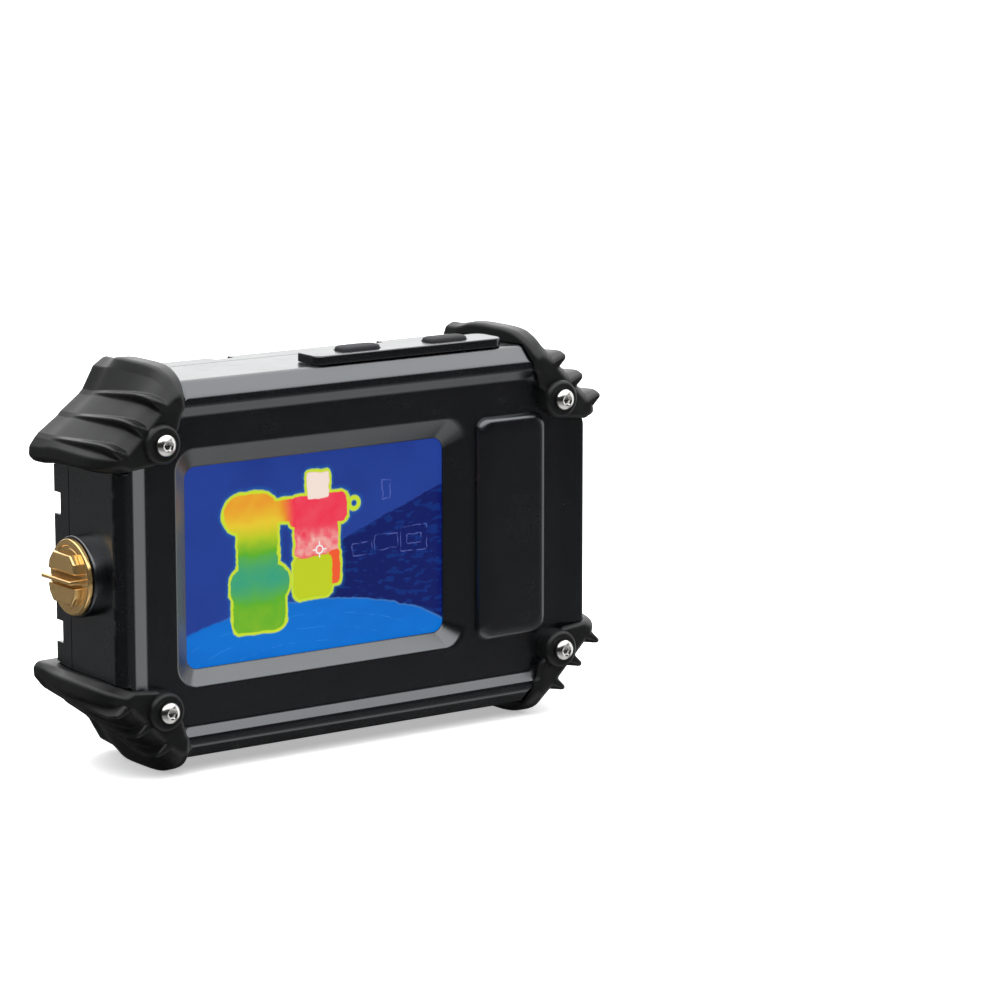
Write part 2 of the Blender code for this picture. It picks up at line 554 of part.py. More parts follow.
def build_port(parts, finishes):
    brass, rubber, steel = finishes
    pivot = (BOSS_X, PLUG_Y, PLUG_Z)
    under = BOSS_X - GAP
    profile = ((6.0, -69.6), (6.0, under), (PLUG_R, under), (PLUG_R, under - 0.9), (PLUG_R - 0.4, under - 1.2))
    disc = [at_x(circle(PLUG_Y, PLUG_Z, r, 28), x) for r, x in profile]
    plug = parts.add("port_plug", solid([disc]), brass, pivot)
    face = under - 1.2
    for side in (1, -1):
        block = [(-6.9, 1.7), (6.9, 1.7), (6.2, 4.4), (4.4, 6.5), (-4.4, 6.5), (-6.2, 4.4)]
        outline = [(PLUG_Y + y, PLUG_Z + side * z) for y, z in block]
        shrunk = [(PLUG_Y + 0.92 * y, PLUG_Z + side * (z * 0.96 + 0.06)) for y, z in block]
        parts.join(plug, [at_x(outline, face + 0.5), at_x(outline, -81.0), at_x(shrunk, -81.4)])
    rib = [(-7.3, -0.6), (7.3, -0.6), (7.3, 0.6), (-7.3, 0.6)]
    outline = [(PLUG_Y + y, PLUG_Z + z) for y, z in rib]
    tip = [(PLUG_Y + 0.8 * y, PLUG_Z + 0.9 * z) for y, z in rib]
    parts.join(plug, [at_x(outline, face + 0.5), at_x(outline, -82.2), at_x(tip, -83.2)])
    outer, inner = (circle(PLUG_Y, PLUG_Z, r, 24) for r in (8.7, 7.4))
    ring = sleeve(at_x(outer, BOSS_X), at_x(outer, BOSS_X + 1.0), at_x(inner, BOSS_X + 1.0), at_x(inner, BOSS_X))
    parts.add("port_plug_seal", ring, rubber, pivot)
    body = box(-64.8, -57.0, PLUG_Y - 4.0, PLUG_Y + 4.0, PLUG_Z - 5.8, PLUG_Z + 5.8)
    socket = parts.add("port_socket", solid([body]), steel)
    mouth = rounded(PLUG_Y - 1.6, PLUG_Y + 1.6, PLUG_Z - 4.5, PLUG_Z + 4.5, 1.5)
    parts.cut(socket, [at_x(mouth, -66), at_x(mouth, -59)])


def main():
    clear_scene()
    bpy.context.scene.unit_settings.scale_length = 1.0
    anodised = material("black_anodised_aluminium", (0.012, 0.013, 0.015), 0.38, 0.6)
    rubber = material("black_rubber", (0.02, 0.021, 0.023), 0.62)
    plastic = material("black_plastic", (0.015, 0.015, 0.016), 0.5)
    stainless = material("stainless_steel", (0.72, 0.71, 0.69), 0.28, 1.0)
    brass = material("brass", (0.78, 0.52, 0.22), 0.25, 1.0)
    glass = material("cover_glass", (0.05, 0.07, 0.12), 0.08)
    mint = material("germanium_coating", (0.66, 0.86, 0.74), 0.2)
    board = material("circuit_board", (0.02, 0.16, 0.07), 0.5)
    cell = material("battery_wrap", (0.1, 0.13, 0.2), 0.45)
    parts = Assembly()
    build_front_shell(parts, anodised)
    build_rear_shell(parts, anodised)
    parts.add("shell_seal", gasket_ring(0.0, PARTING_Y - 0.3, PARTING_Y + 0.7), rubber)
    build_guards(parts, rubber)
    build_fasteners(parts, stainless)
    build_screen(parts, plastic, glass, rubber)
    build_internals(parts, (board, plastic, stainless, cell))
    build_lens_unit(parts, (plastic, stainless, rubber, mint, glass))
    build_torch(parts, (stainless, glass, rubber, board))
    build_keys(parts, (plastic, rubber, stainless, board))
    build_port(parts, (brass, rubber, stainless))


main()
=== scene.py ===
"""Looks for a thermal imaging camera in a flat, sealed, black housing with rubber corner guards.

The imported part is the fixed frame: every piece made here sits on it and rides on one of its bodies. Sizes are
millimetres in the housing's own frame, unless they say otherwise. Seen from the screen side, X points right,
Y points from the screen side to the lens side and Z points up from the bottom of the shell.
"""

from __future__ import annotations

import json
import logging
import math
from dataclasses import dataclass, field
from enum import Enum
from typing import Any, Sequence

import bmesh
import bpy
import numpy as np
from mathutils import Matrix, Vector

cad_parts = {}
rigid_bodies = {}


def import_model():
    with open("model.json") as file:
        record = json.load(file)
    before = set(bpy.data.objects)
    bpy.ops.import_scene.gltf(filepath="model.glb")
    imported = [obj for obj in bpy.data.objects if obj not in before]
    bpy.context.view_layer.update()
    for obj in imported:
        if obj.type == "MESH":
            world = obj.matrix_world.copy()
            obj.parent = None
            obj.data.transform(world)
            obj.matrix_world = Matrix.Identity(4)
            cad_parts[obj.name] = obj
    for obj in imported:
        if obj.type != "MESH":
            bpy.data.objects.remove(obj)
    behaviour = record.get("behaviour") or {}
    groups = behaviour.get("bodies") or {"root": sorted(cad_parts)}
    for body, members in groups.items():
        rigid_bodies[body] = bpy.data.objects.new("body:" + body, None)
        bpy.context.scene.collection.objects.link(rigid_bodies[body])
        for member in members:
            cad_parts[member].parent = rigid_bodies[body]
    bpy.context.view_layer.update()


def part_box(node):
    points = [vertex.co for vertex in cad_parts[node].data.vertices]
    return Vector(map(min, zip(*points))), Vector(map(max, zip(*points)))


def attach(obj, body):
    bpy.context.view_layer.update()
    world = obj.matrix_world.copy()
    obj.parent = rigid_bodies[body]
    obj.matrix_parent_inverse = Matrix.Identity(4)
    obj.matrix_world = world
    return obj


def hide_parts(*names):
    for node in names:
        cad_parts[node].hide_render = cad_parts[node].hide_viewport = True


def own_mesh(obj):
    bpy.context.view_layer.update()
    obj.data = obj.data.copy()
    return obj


LOG = logging.getLogger("thermal_camera")
MM = 0.001
MERGE = 2e-6
Array = np.ndarray


class Axis(Enum):
    """The axis that a profile is carried along or turned about."""

    X = 0
    Y = 1
    Z = 2


class Closing(Enum):
    """How a grid of points closes into a skin."""

    CAPPED = "columns join up and the two end rows are filled"
    RING = "columns and rows both join up"


# ---------------------------------------------------------------------------------------------------------------
# Surfaces on a grid of two parameters


def unit(vectors: Array) -> Array:
    """Vectors over their own lengths."""
    return vectors / np.maximum(np.linalg.norm(vectors, axis=-1, keepdims=True), 1e-12)


def conic(first: Array, corner: Array, last: Array, weight: Array | float, steps: int) -> Array:
    """Points along a rounded corner.

    The point at share s is ((1-s)^2 first + 2 s (1-s) w corner + s^2 last) over the sum of the same weights. With
    w equal to the sine of half the corner's angle this is an exact circular arc, and with w = 1 a parabola.

    Args:
        first: where the rounding starts, (..., n).
        corner: the sharp corner, (..., n).
        last: where the rounding ends, (..., n).
        weight: w for each corner, (...), or one number.
        steps: how many points.

    Returns:
        Points of shape (..., steps, n).
    """
    s = np.linspace(0.0, 1.0, steps)[:, None]
    w = np.asarray(weight, float)[..., None, None]
    a, b, c = (1 - s) ** 2, 2 * s * (1 - s) * w, s**2
    return (a * first[..., None, :] + b * corner[..., None, :] + c * last[..., None, :]) / (a + b + c)


def fillet(corners: Array, radius: Array | float, steps: int = 6) -> Array:
    """Rounds the corners of closed outlines with tangent arcs.

    The arc leaves each edge at radius over the tangent of half the corner's angle, or at 45% of the shorter edge if
    that is nearer.

    Args:
        corners: outlines, (..., k, 2).
        radius: radius of each corner, (..., k), or one number.
        steps: points on each arc.

    Returns:
        Outlines of shape (..., k * steps, 2).
    """
    back, ahead = np.roll(corners, 1, -2) - corners, np.roll(corners, -1, -2) - corners
    shorter = np.minimum(np.linalg.norm(back, axis=-1), np.linalg.norm(ahead, axis=-1))
    back, ahead = unit(back), unit(ahead)
    half = np.arccos(np.clip((back * ahead).sum(-1), -0.9999, 0.9999)) / 2
    length = np.minimum(np.broadcast_to(radius, half.shape) / np.tan(half), 0.45 * shorter)[..., None]
    arcs = conic(corners + back * length, corners, corners + ahead * length, np.sin(half), steps)
    return arcs.reshape(*corners.shape[:-2], -1, 2)


def soften(stations: Array, before: Sequence[float], after: Sequence[float], steps: int = 5,
           ring: bool = False) -> Array:
    """Rounds the corners of a path through any number of parameters.

    Each inner station becomes a parabola from the given share of the way back to the previous station to the given
    share of the way on to the next one.

    Args:
        stations: path corners, (n, k).
        before: share of the way back, one for each inner station.
        after: share of the way on, one for each inner station.
        steps: points on each corner.
        ring: whether the path closes on itself, so that every station is an inner one.

    Returns:
        The path, (m, k).
    """
    inner = stations if ring else stations[1:-1]
    previous = np.roll(stations, 1, 0) if ring else stations[:-2]
    following = np.roll(stations, -1, 0) if ring else stations[2:]
    first = inner + (previous - inner) * np.asarray(before, float)[:, None]
    last = inner + (following - inner) * np.asarray(after, float)[:, None]
    path = conic(first, inner, last, 1.0, steps).reshape(-1, stations.shape[1])
    return path if ring else np.vstack([stations[:1], path, stations[-1:]])


def inset(corners: Array, depth: Array | float) -> Array:
    """Moves the corners of outlines inwards.

    A corner moves by depth times 1.1 (n1 + n2) / (1.2 + n1.n2), where n1 and n2 are the normals of its two edges.
    That is close to a mitre, and reaches less far in sharp corners.

    Args:
        corners: outlines, (..., k, 2), counter-clockwise.
        depth: how far in, one number for each outline.

    Returns:
        Outlines of the same shape.
    """
    edge = unit(np.roll(corners, -1, -2) - corners)
    normal = np.stack([edge[..., 1], -edge[..., 0]], -1)
    other = np.roll(normal, 1, -2)
    mitre = (normal + other) / (1.2 + (normal * other).sum(-1, keepdims=True)) * 1.1
    return corners - mitre * np.asarray(depth, float)[..., None, None]


def eight_sided(x0: Array, x1: Array, z0: Array, z1: Array, cut: Array) -> Array:
    """Corners of boxes whose own corners are cut off at 45 degrees, (..., 8, 2), counter-clockwise."""
    across = np.stack([x0 + cut, x1 - cut, x1, x1, x1 - cut, x0 + cut, x0, x0], -1)
    up = np.stack([z0, z0, z0 + cut, z1 - cut, z1, z1, z1 - cut, z0 + cut], -1)
    return np.stack([across, up], -1)


def rectangle(p0: float, p1: float, q0: float, q1: float) -> Array:
    """Corners of a rectangle, (4, 2), counter-clockwise."""
    return np.array([(p0, q0), (p1, q0), (p1, q1), (p0, q1)])


def circle(count: int) -> Array:
    """Points round the unit circle, (count, 2), counter-clockwise."""
    angle = np.arange(count) * 2 * math.pi / count
    return np.stack([np.cos(angle), np.sin(angle)], -1)


def along(axis: Axis, across: Array, distance: Array | float) -> Array:
    """Outlines put at distances along an axis: (p, q) becomes (d, p, q), (p, d, q) or (p, q, d) for X, Y or Z.

    Args:
        axis: the axis.
        across: points in the plane across it, (..., 2).
        distance: distance along it, of a shape that fits.

    Returns:
        Points, (..., 3).
    """
    p, q = across[..., 0], across[..., 1]
    d = np.broadcast_to(distance, p.shape)
    order = {Axis.X: (d, p, q), Axis.Y: (p, d, q), Axis.Z: (p, q, d)}[axis]
    return np.stack(order, -1)


@dataclass
class Surface:
    """A grid of points in millimetres, (rows, columns, 3), and how it closes."""

    points: Array
    closing: Closing = Closing.CAPPED

    def faces(self, start: int) -> list[list[int]]:
        """Quads between neighbouring rows and columns, and the end caps, with vertices counted from start."""
        rows, columns = self.points.shape[:2]
        index = start + np.arange(rows * columns).reshape(rows, columns)
        across = np.concatenate([index, index[:, :1]], 1)
        grid = np.concatenate([across, across[:1]], 0) if self.closing is Closing.RING else across
        quads = np.stack([grid[:-1, :-1], grid[:-1, 1:], grid[1:, 1:], grid[1:, :-1]], -1).reshape(-1, 4).tolist()
        if self.closing is Closing.CAPPED:
            quads += [index[0, ::-1].tolist(), index[-1].tolist()]
        return quads


def turned(axis: Axis, centre: tuple[float, float], profile: Array, count: int = 64,
           closing: Closing = Closing.CAPPED) -> Surface:
    """A profile turned about an axis: each row is the unit circle times the row's radius.

    Args:
        axis: the axis.
        centre: where it crosses the plane across it.
        profile: rows of (radius, distance).
        count: points round the circle.
        closing: how the surface closes.

    Returns:
        The surface.
    """
    rings = circle(count)[None] * profile[:, None, :1] + np.asarray(centre)
    return Surface(along(axis, rings, profile[:, 1:]), closing)


def carried(axis: Axis, outlines: Array, distances: Array, closing: Closing = Closing.CAPPED) -> Surface:
    """Outlines, (rows, columns, 2), carried along an axis, one to each distance."""
    return Surface(along(axis, outlines, distances[:, None]), closing)


def slab(axis: Axis, corners: Array, radius: float, stations: Sequence[tuple[float, float]],
         rounding: float = 0.5, steps: int = 6) -> Surface:
    """A block with one outline and rounded rims.

    Each station is (distance, depth): the outline moved inwards by depth at that distance. The path between them is
    softened, so that an end station with some depth makes a rounded rim.

    Args:
        axis: axis that the outline is carried along.
        corners: outline before rounding, (k, 2).
        radius: radius of the outline's corners.
        stations: (distance, depth) pairs.
        rounding: share of each leg that the rims take up.
        steps: points on each outline corner.

    Returns:
        The closed surface.
    """
    path = np.asarray(stations, float)
    shares = [rounding] * (len(path) - 2)
    path = soften(path, shares, shares)
    outlines = fillet(inset(np.broadcast_to(corners, (len(path), *corners.shape)), path[:, 1]), radius, steps)
    return carried(axis, outlines, path[:, 0])


def coil(centre: tuple[float, float], low: float, high: float, radius: float, wire: float, turns: float) -> Surface:
    """A helix of round wire about Z, with its end turns closed up flat.

    The centreline climbs evenly with the angle between the first turn and the last, and the wire's circle is carried
    along it in the plane of the radius and the axis.

    Args:
        centre: where the axis stands, (x, y).
        low: height of the lower end.
        high: height of the upper end.
        radius: outer radius of the coil.
        wire: radius of the wire.
        turns: number of turns.

    Returns:
        The closed surface.
    """
    share = np.linspace(0.0, 1.0, int(28 * turns))
    angle = share * turns * 2 * math.pi
    climb = np.clip((share * turns - 1) / (turns - 2), 0, 1)
    height = low + wire + (high - low - 2 * wire) * climb
    ring = circle(8) * wire
    reach = radius - wire + ring[None, :, 0]
    points = np.stack([centre[0] + reach * np.cos(angle)[:, None], centre[1] + reach * np.sin(angle)[:, None],
                       height[:, None] + ring[None, :, 1]], -1)
    return Surface(points)


# ---------------------------------------------------------------------------------------------------------------
# Shader maths


class Term:
    """A value in a node tree. Arithmetic on it adds Math nodes."""

    def __init__(self, graph: Graph, socket: bpy.types.NodeSocket) -> None:
        """Wraps an output socket of the graph."""
        self.graph, self.socket = graph, socket

    def __add__(self, other: Value) -> Term:
        """The sum."""
        return self.graph.maths("ADD", self, other)

    __radd__ = __add__

    def __mul__(self, other: Value) -> Term:
        """The product."""
        return self.graph.maths("MULTIPLY", self, other)

    __rmul__ = __mul__

    def __sub__(self, other: Value) -> Term:
        """The difference."""
        return self.graph.maths("SUBTRACT", self, other)

    def __rsub__(self, other: Value) -> Term:
        """A number less this value."""
        return self.graph.maths("SUBTRACT", other, self)

    def __truediv__(self, other: Value) -> Term:
        """The quotient."""
        return self.graph.maths("DIVIDE", self, other)

    def __rtruediv__(self, other: Value) -> Term:
        """A number over this value."""
        return self.graph.maths("DIVIDE", other, self)

    def __abs__(self) -> Term:
        """The size without its sign."""
        return self.graph.maths("ABSOLUTE", self)


Value = Term | float


class Graph:
    """The node tree of one material or world, with one method that adds a node."""

    def __init__(self, tree: bpy.types.NodeTree) -> None:
        """Empties the tree."""
        self.tree = tree
        tree.nodes.clear()

    def node(self, kind: str, settings: dict[str, Any] | None = None,
             inputs: dict[int | str, Any] | None = None) -> bpy.types.Node:
        """Adds a node.

        Args:
            kind: the node's type.
            settings: its properties, set first; the key "stops" holds a ramp's (position, colour) pairs.
            inputs: a value, a Term or a socket for each input, by name or index.

        Returns:
            The node.
        """
        made = self.tree.nodes.new(kind)
        for name, value in (settings or {}).items():
            if name == "stops":
                self._set_stops(made, value)
            else:
                setattr(made, name, value)
        for name, value in (inputs or {}).items():
            if isinstance(value, (Term, bpy.types.NodeSocket)):
                self.tree.links.new(value.socket if isinstance(value, Term) else value, made.inputs[name])
            else:
                made.inputs[name].default_value = value
        return made

    @staticmethod
    def _set_stops(ramp: bpy.types.Node, stops: Sequence[tuple[float, tuple[float, float, float]]]) -> None:
        """Gives a colour ramp its stops."""
        elements = ramp.color_ramp.elements
        for _ in range(len(stops) - 2):
            elements.new(0.5)
        for element, (position, colour) in zip(elements, stops):
            element.position = position
            element.color = (*colour, 1.0)

    def maths(self, operation: str, *values: Value) -> Term:
        """One Math node on the given values."""
        return Term(self, self.node("ShaderNodeMath", {"operation": operation}, dict(enumerate(values))).outputs[0])

    def least(self, *values: Value) -> Term:
        """The least of several values."""
        found = values[0]
        for value in values[1:]:
            found = self.maths("MINIMUM", found, value)
        return found

    def most(self, *values: Value) -> Term:
        """The greatest of several values."""
        found = values[0]
        for value in values[1:]:
            found = self.maths("MAXIMUM", found, value)
        return found

    def length(self, x: Term, z: Term) -> Term:
        """The length of the vector (x, z)."""
        return self.maths("SQRT", x * x + z * z)

    def clamped(self, value: Term) -> Term:
        """The value kept from 0 to 1."""
        return self.least(self.most(value, 0.0), 1.0)

    def ease(self, value: Value, low: float, high: float) -> Term:
        """0 below low, 1 above high and a smooth step between."""
        settings = {"interpolation_type": "SMOOTHSTEP", "clamp": True}
        inputs = {"Value": value, "From Min": low, "From Max": high}
        return Term(self, self.node("ShaderNodeMapRange", settings, inputs).outputs[0])

    def mix(self, factor: Value, first: Any, second: Any) -> bpy.types.NodeSocket:
        """Colour between first, at factor 0, and second, at factor 1."""
        return self.node("ShaderNodeMix", {"data_type": "RGBA"}, {0: factor, 6: first, 7: second}).outputs[2]

    def place(self, scale: tuple[float, float, float] = (1.0, 1.0, 1.0)) -> bpy.types.NodeSocket:
        """Object coordinates in millimetres of the row frame, stretched by scale."""
        source = self.node("ShaderNodeTexCoord").outputs["Object"]
        stretch = tuple(part / MM for part in scale)
        return self.node("ShaderNodeMapping", {}, {"Vector": source, "Scale": stretch}).outputs[0]

    def parts(self, vector: bpy.types.NodeSocket) -> tuple[Term, Term, Term]:
        """The three parts of a vector."""
        made = self.node("ShaderNodeSeparateXYZ", {}, {0: vector})
        return Term(self, made.outputs[0]), Term(self, made.outputs[1]), Term(self, made.outputs[2])

    def noise(self, size: float, detail: float = 2.0, scale: tuple[float, float, float] = (1.0, 1.0, 1.0)) -> Term:
        """Noise about 0.5 whose features are about size millimetres across."""
        inputs = {"Vector": self.place(scale), "Scale": 1.0 / size, "Detail": detail}
        return Term(self, self.node("ShaderNodeTexNoise", {}, inputs).outputs[0])

    def attribute(self, name: str) -> Term:
        """A float attribute of the mesh."""
        return Term(self, self.node("ShaderNodeAttribute", {"attribute_name": name}).outputs["Fac"])

    def relief(self, height: Value, depth: float, strength: float = 1.0) -> bpy.types.NodeSocket:
        """A bump normal from a height of 0 to 1 that stands for depth millimetres."""
        inputs = {"Height": height, "Distance": depth * MM, "Strength": strength}
        return self.node("ShaderNodeBump", {}, inputs).outputs[0]

    def surface(self, inputs: dict[str, Any]) -> None:
        """Ends the tree in one Principled shader."""
        shader = self.node("ShaderNodeBsdfPrincipled", {}, inputs)
        self.node("ShaderNodeOutputMaterial", {}, {"Surface": shader.outputs[0]})


Colour = tuple[float, float, float]


def rgba(colour: Colour) -> tuple[float, float, float, float]:
    """The colour with full alpha."""
    return (*colour, 1.0)


class Finish:
    """A finish that makes its material once."""

    name: str

    def dress(self, graph: Graph) -> None:
        """Builds the finish's nodes."""
        raise NotImplementedError

    def material(self) -> bpy.types.Material:
        """The finish's material, made on first use."""
        made = bpy.data.materials.get(self.name)
        if made is None:
            made = bpy.data.materials.new(self.name)
            made.use_nodes = True
            self.dress(Graph(made.node_tree))
        return made


@dataclass(frozen=True)
class SatinBlack(Finish):
    """Black anodised metal: near-black, with a fine blasted grain, faint handling marks and rubbed edges."""

    name: str = "satin_black_anodised"
    colour: Colour = (0.0018, 0.0021, 0.0028)
    rubbed: Colour = (0.030, 0.031, 0.034)
    roughness: float = 0.26
    grain: float = 0.30
    tint: Colour = (0.93, 0.965, 1.0)

    def dress(self, graph: Graph) -> None:
        """Colour from edge wear, roughness from smears, bump from the grain."""
        grain, cloud, smear = graph.noise(self.grain, 2.0), graph.noise(16.0, 3.0), graph.noise(5.0, 4.0)
        worn = graph.attribute("wear") * graph.ease(graph.noise(4.0, 3.0), 0.46, 0.66)
        fleck = graph.ease(graph.noise(0.8, 1.0), 0.68, 0.80) * 0.06
        colour = graph.mix(graph.clamped(worn * 0.30 + fleck), rgba(self.colour), rgba(self.rubbed))
        rough = self.roughness + (cloud - 0.5) * 0.07 + (smear - 0.5) * 0.05 + worn * 0.04
        graph.surface({"Base Color": colour, "Roughness": rough, "Metallic": 0.0, "IOR": 1.95,
                       "Specular Tint": rgba(self.tint), "Normal": graph.relief(grain, 0.0022, 0.3)})


@dataclass(frozen=True)
class MouldedRubber(Finish):
    """Soft black rubber: a fine pebbled skin, dust in the hollows and a little sheen."""

    name: str = "moulded_rubber"
    colour: Colour = (0.0030, 0.0033, 0.0036)
    dusty: Colour = (0.0066, 0.0070, 0.0075)
    roughness: float = 0.42
    pebble: float = 0.30

    def dress(self, graph: Graph) -> None:
        """Colour from dust, roughness from handling, bump from pebbles and slow waves."""
        pebble, wave, dust = graph.noise(self.pebble, 2.0), graph.noise(9.0, 2.0), graph.noise(2.2, 5.0)
        colour = graph.mix(graph.ease(dust, 0.40, 0.78) * 0.5, rgba(self.colour), rgba(self.dusty))
        rough = self.roughness + (wave - 0.5) * 0.12 + (dust - 0.5) * 0.08
        graph.surface({"Base Color": colour, "Roughness": rough, "IOR": 1.38, "Sheen Weight": 0.01,
                       "Sheen Roughness": 0.4, "Normal": graph.relief(pebble + wave * 3.0, 0.010, 0.5)})


@dataclass(frozen=True)
class MouldedPlastic(Finish):
    """Hard black plastic with a spark-eroded texture."""

    name: str = "black_plastic"
    colour: Colour = (0.0030, 0.0031, 0.0034)
    roughness: float = 0.36

    def dress(self, graph: Graph) -> None:
        """Colour with faint clouds, bump from the texture."""
        grain, cloud = graph.noise(0.16, 3.0), graph.noise(4.0, 3.0)
        lighter = tuple(part * 2.0 + 0.004 for part in self.colour)
        graph.surface({"Base Color": graph.mix(cloud * 0.5, rgba(self.colour), rgba(lighter)),
                       "Roughness": self.roughness + (cloud - 0.5) * 0.14,
                       "Normal": graph.relief(grain, 0.008, 0.45)})


@dataclass(frozen=True)
class BrushedMetal(Finish):
    """Metal with fine straight brush marks along X and a few deeper ones."""

    name: str = "brushed_stainless"
    colour: Colour = (0.66, 0.655, 0.64)
    darker: Colour = (0.42, 0.415, 0.40)
    roughness: float = 0.36
    stroke: float = 0.07

    def dress(self, graph: Graph) -> None:
        """Long noise along X for colour, roughness and bump."""
        fine = graph.noise(self.stroke, 2.0, (0.02, 1.0, 1.0))
        broad = graph.noise(0.6, 3.0, (0.05, 1.0, 1.0))
        stain = graph.noise(6.0, 3.0)
        shade = graph.clamped((fine - 0.5) * 0.9 + (broad - 0.5) * 0.7 + 0.25)
        graph.surface({"Base Color": graph.mix(shade, rgba(self.colour), rgba(self.darker)), "Metallic": 0.72,
                       "Roughness": self.roughness + (fine - 0.5) * 0.16 + (stain - 0.5) * 0.08,
                       "Normal": graph.relief(fine, 0.003, 0.5)})


@dataclass(frozen=True)
class PolishedMetal(Finish):
    """Polished or machined metal: bright, with hairline scratches and a faint tarnish."""

    name: str
    colour: Colour
    tarnish: Colour
    roughness: float = 0.16

    def dress(self, graph: Graph) -> None:
        """Colour from tarnish, roughness and bump from scratches."""
        tarnish, hair = graph.noise(2.6, 4.0), graph.noise(0.05, 1.0, (0.12, 1.0, 0.35))
        colour = graph.mix(graph.ease(tarnish, 0.42, 0.80) * 0.6, rgba(self.colour), rgba(self.tarnish))
        graph.surface({"Base Color": colour, "Metallic": 1.0, "Normal": graph.relief(hair, 0.0015, 0.4),
                       "Roughness": self.roughness + (tarnish - 0.5) * 0.12 + (hair - 0.5) * 0.06})


@dataclass(frozen=True)
class CoatedGlass(Finish):
    """Coated window glass: a glossy face with a tint that shifts a little from its middle to its edge."""

    name: str
    colour: Colour
    edge: Colour
    centre: tuple[float, float, float]
    reach: float
    roughness: float = 0.07

    def dress(self, graph: Graph) -> None:
        """Colour by distance from the middle, with faint bloom in the coating."""
        x, _, z = graph.parts(graph.place())
        off = graph.length(x - self.centre[0], z - self.centre[2])
        bloom = graph.noise(1.6, 3.0)
        share = graph.clamped(graph.ease(off, 0.35 * self.reach, self.reach) + (bloom - 0.5) * 0.3)
        graph.surface({"Base Color": graph.mix(share, rgba(self.colour), rgba(self.edge)),
                       "Roughness": self.roughness + (bloom - 0.5) * 0.06, "Coat Weight": 0.6,
                       "Coat Roughness": 0.04})


@dataclass(frozen=True)
class FrostedGlass(Finish):
    """Frosted glass over a lamp: pale grey with an etched grain."""

    name: str = "frosted_glass"
    colour: Colour = (0.10, 0.11, 0.12)
    light: Colour = (0.17, 0.18, 0.19)

    def dress(self, graph: Graph) -> None:
        """Cloudy colour with a fine etched bump."""
        cloud, etch = graph.noise(1.8, 4.0), graph.noise(0.12, 2.0)
        graph.surface({"Base Color": graph.mix(cloud, rgba(self.colour), rgba(self.light)),
                       "Roughness": 0.34 + (cloud - 0.5) * 0.1, "Normal": graph.relief(etch, 0.01, 0.5),
                       "Coat Weight": 0.25, "Coat Roughness": 0.2})


@dataclass(frozen=True)
class CircuitBoard(Finish):
    """Green solder mask over straight copper tracks."""

    name: str = "circuit_board"
    mask: Colour = (0.008, 0.075, 0.03)
    track: Colour = (0.02, 0.13, 0.05)

    def dress(self, graph: Graph) -> None:
        """Tracks where square cells of noise are high, raised a little under the mask."""
        cells = graph.node("ShaderNodeTexVoronoi", {"distance": "CHEBYCHEV", "feature": "F1"},
                           {"Vector": graph.place((1.0, 1.0, 0.45)), "Scale": 0.55, "Randomness": 0.75})
        tracks = graph.ease(abs(Term(graph, cells.outputs["Distance"]) - 0.42), 0.10, 0.06)
        graph.surface({"Base Color": graph.mix(tracks, rgba(self.mask), rgba(self.track)),
                       "Roughness": 0.34 + tracks * 0.1, "Normal": graph.relief(tracks, 0.035, 0.8)})


@dataclass(frozen=True)
class ShrinkWrap(Finish):
    """Blue heat-shrunk wrap with soft wrinkles."""

    name: str = "battery_wrap"
    colour: Colour = (0.02, 0.05, 0.14)

    def dress(self, graph: Graph) -> None:
        """Wrinkles run across the pack."""
        wrinkle = graph.noise(1.4, 3.0, (0.4, 1.0, 1.0))
        lighter = tuple(part * 1.7 for part in self.colour)
        graph.surface({"Base Color": graph.mix(wrinkle, rgba(self.colour), rgba(lighter)),
                       "Roughness": 0.3 + (wrinkle - 0.5) * 0.2, "Normal": graph.relief(wrinkle, 0.12, 0.6)})


Shape = tuple[float, float, float, float, float]


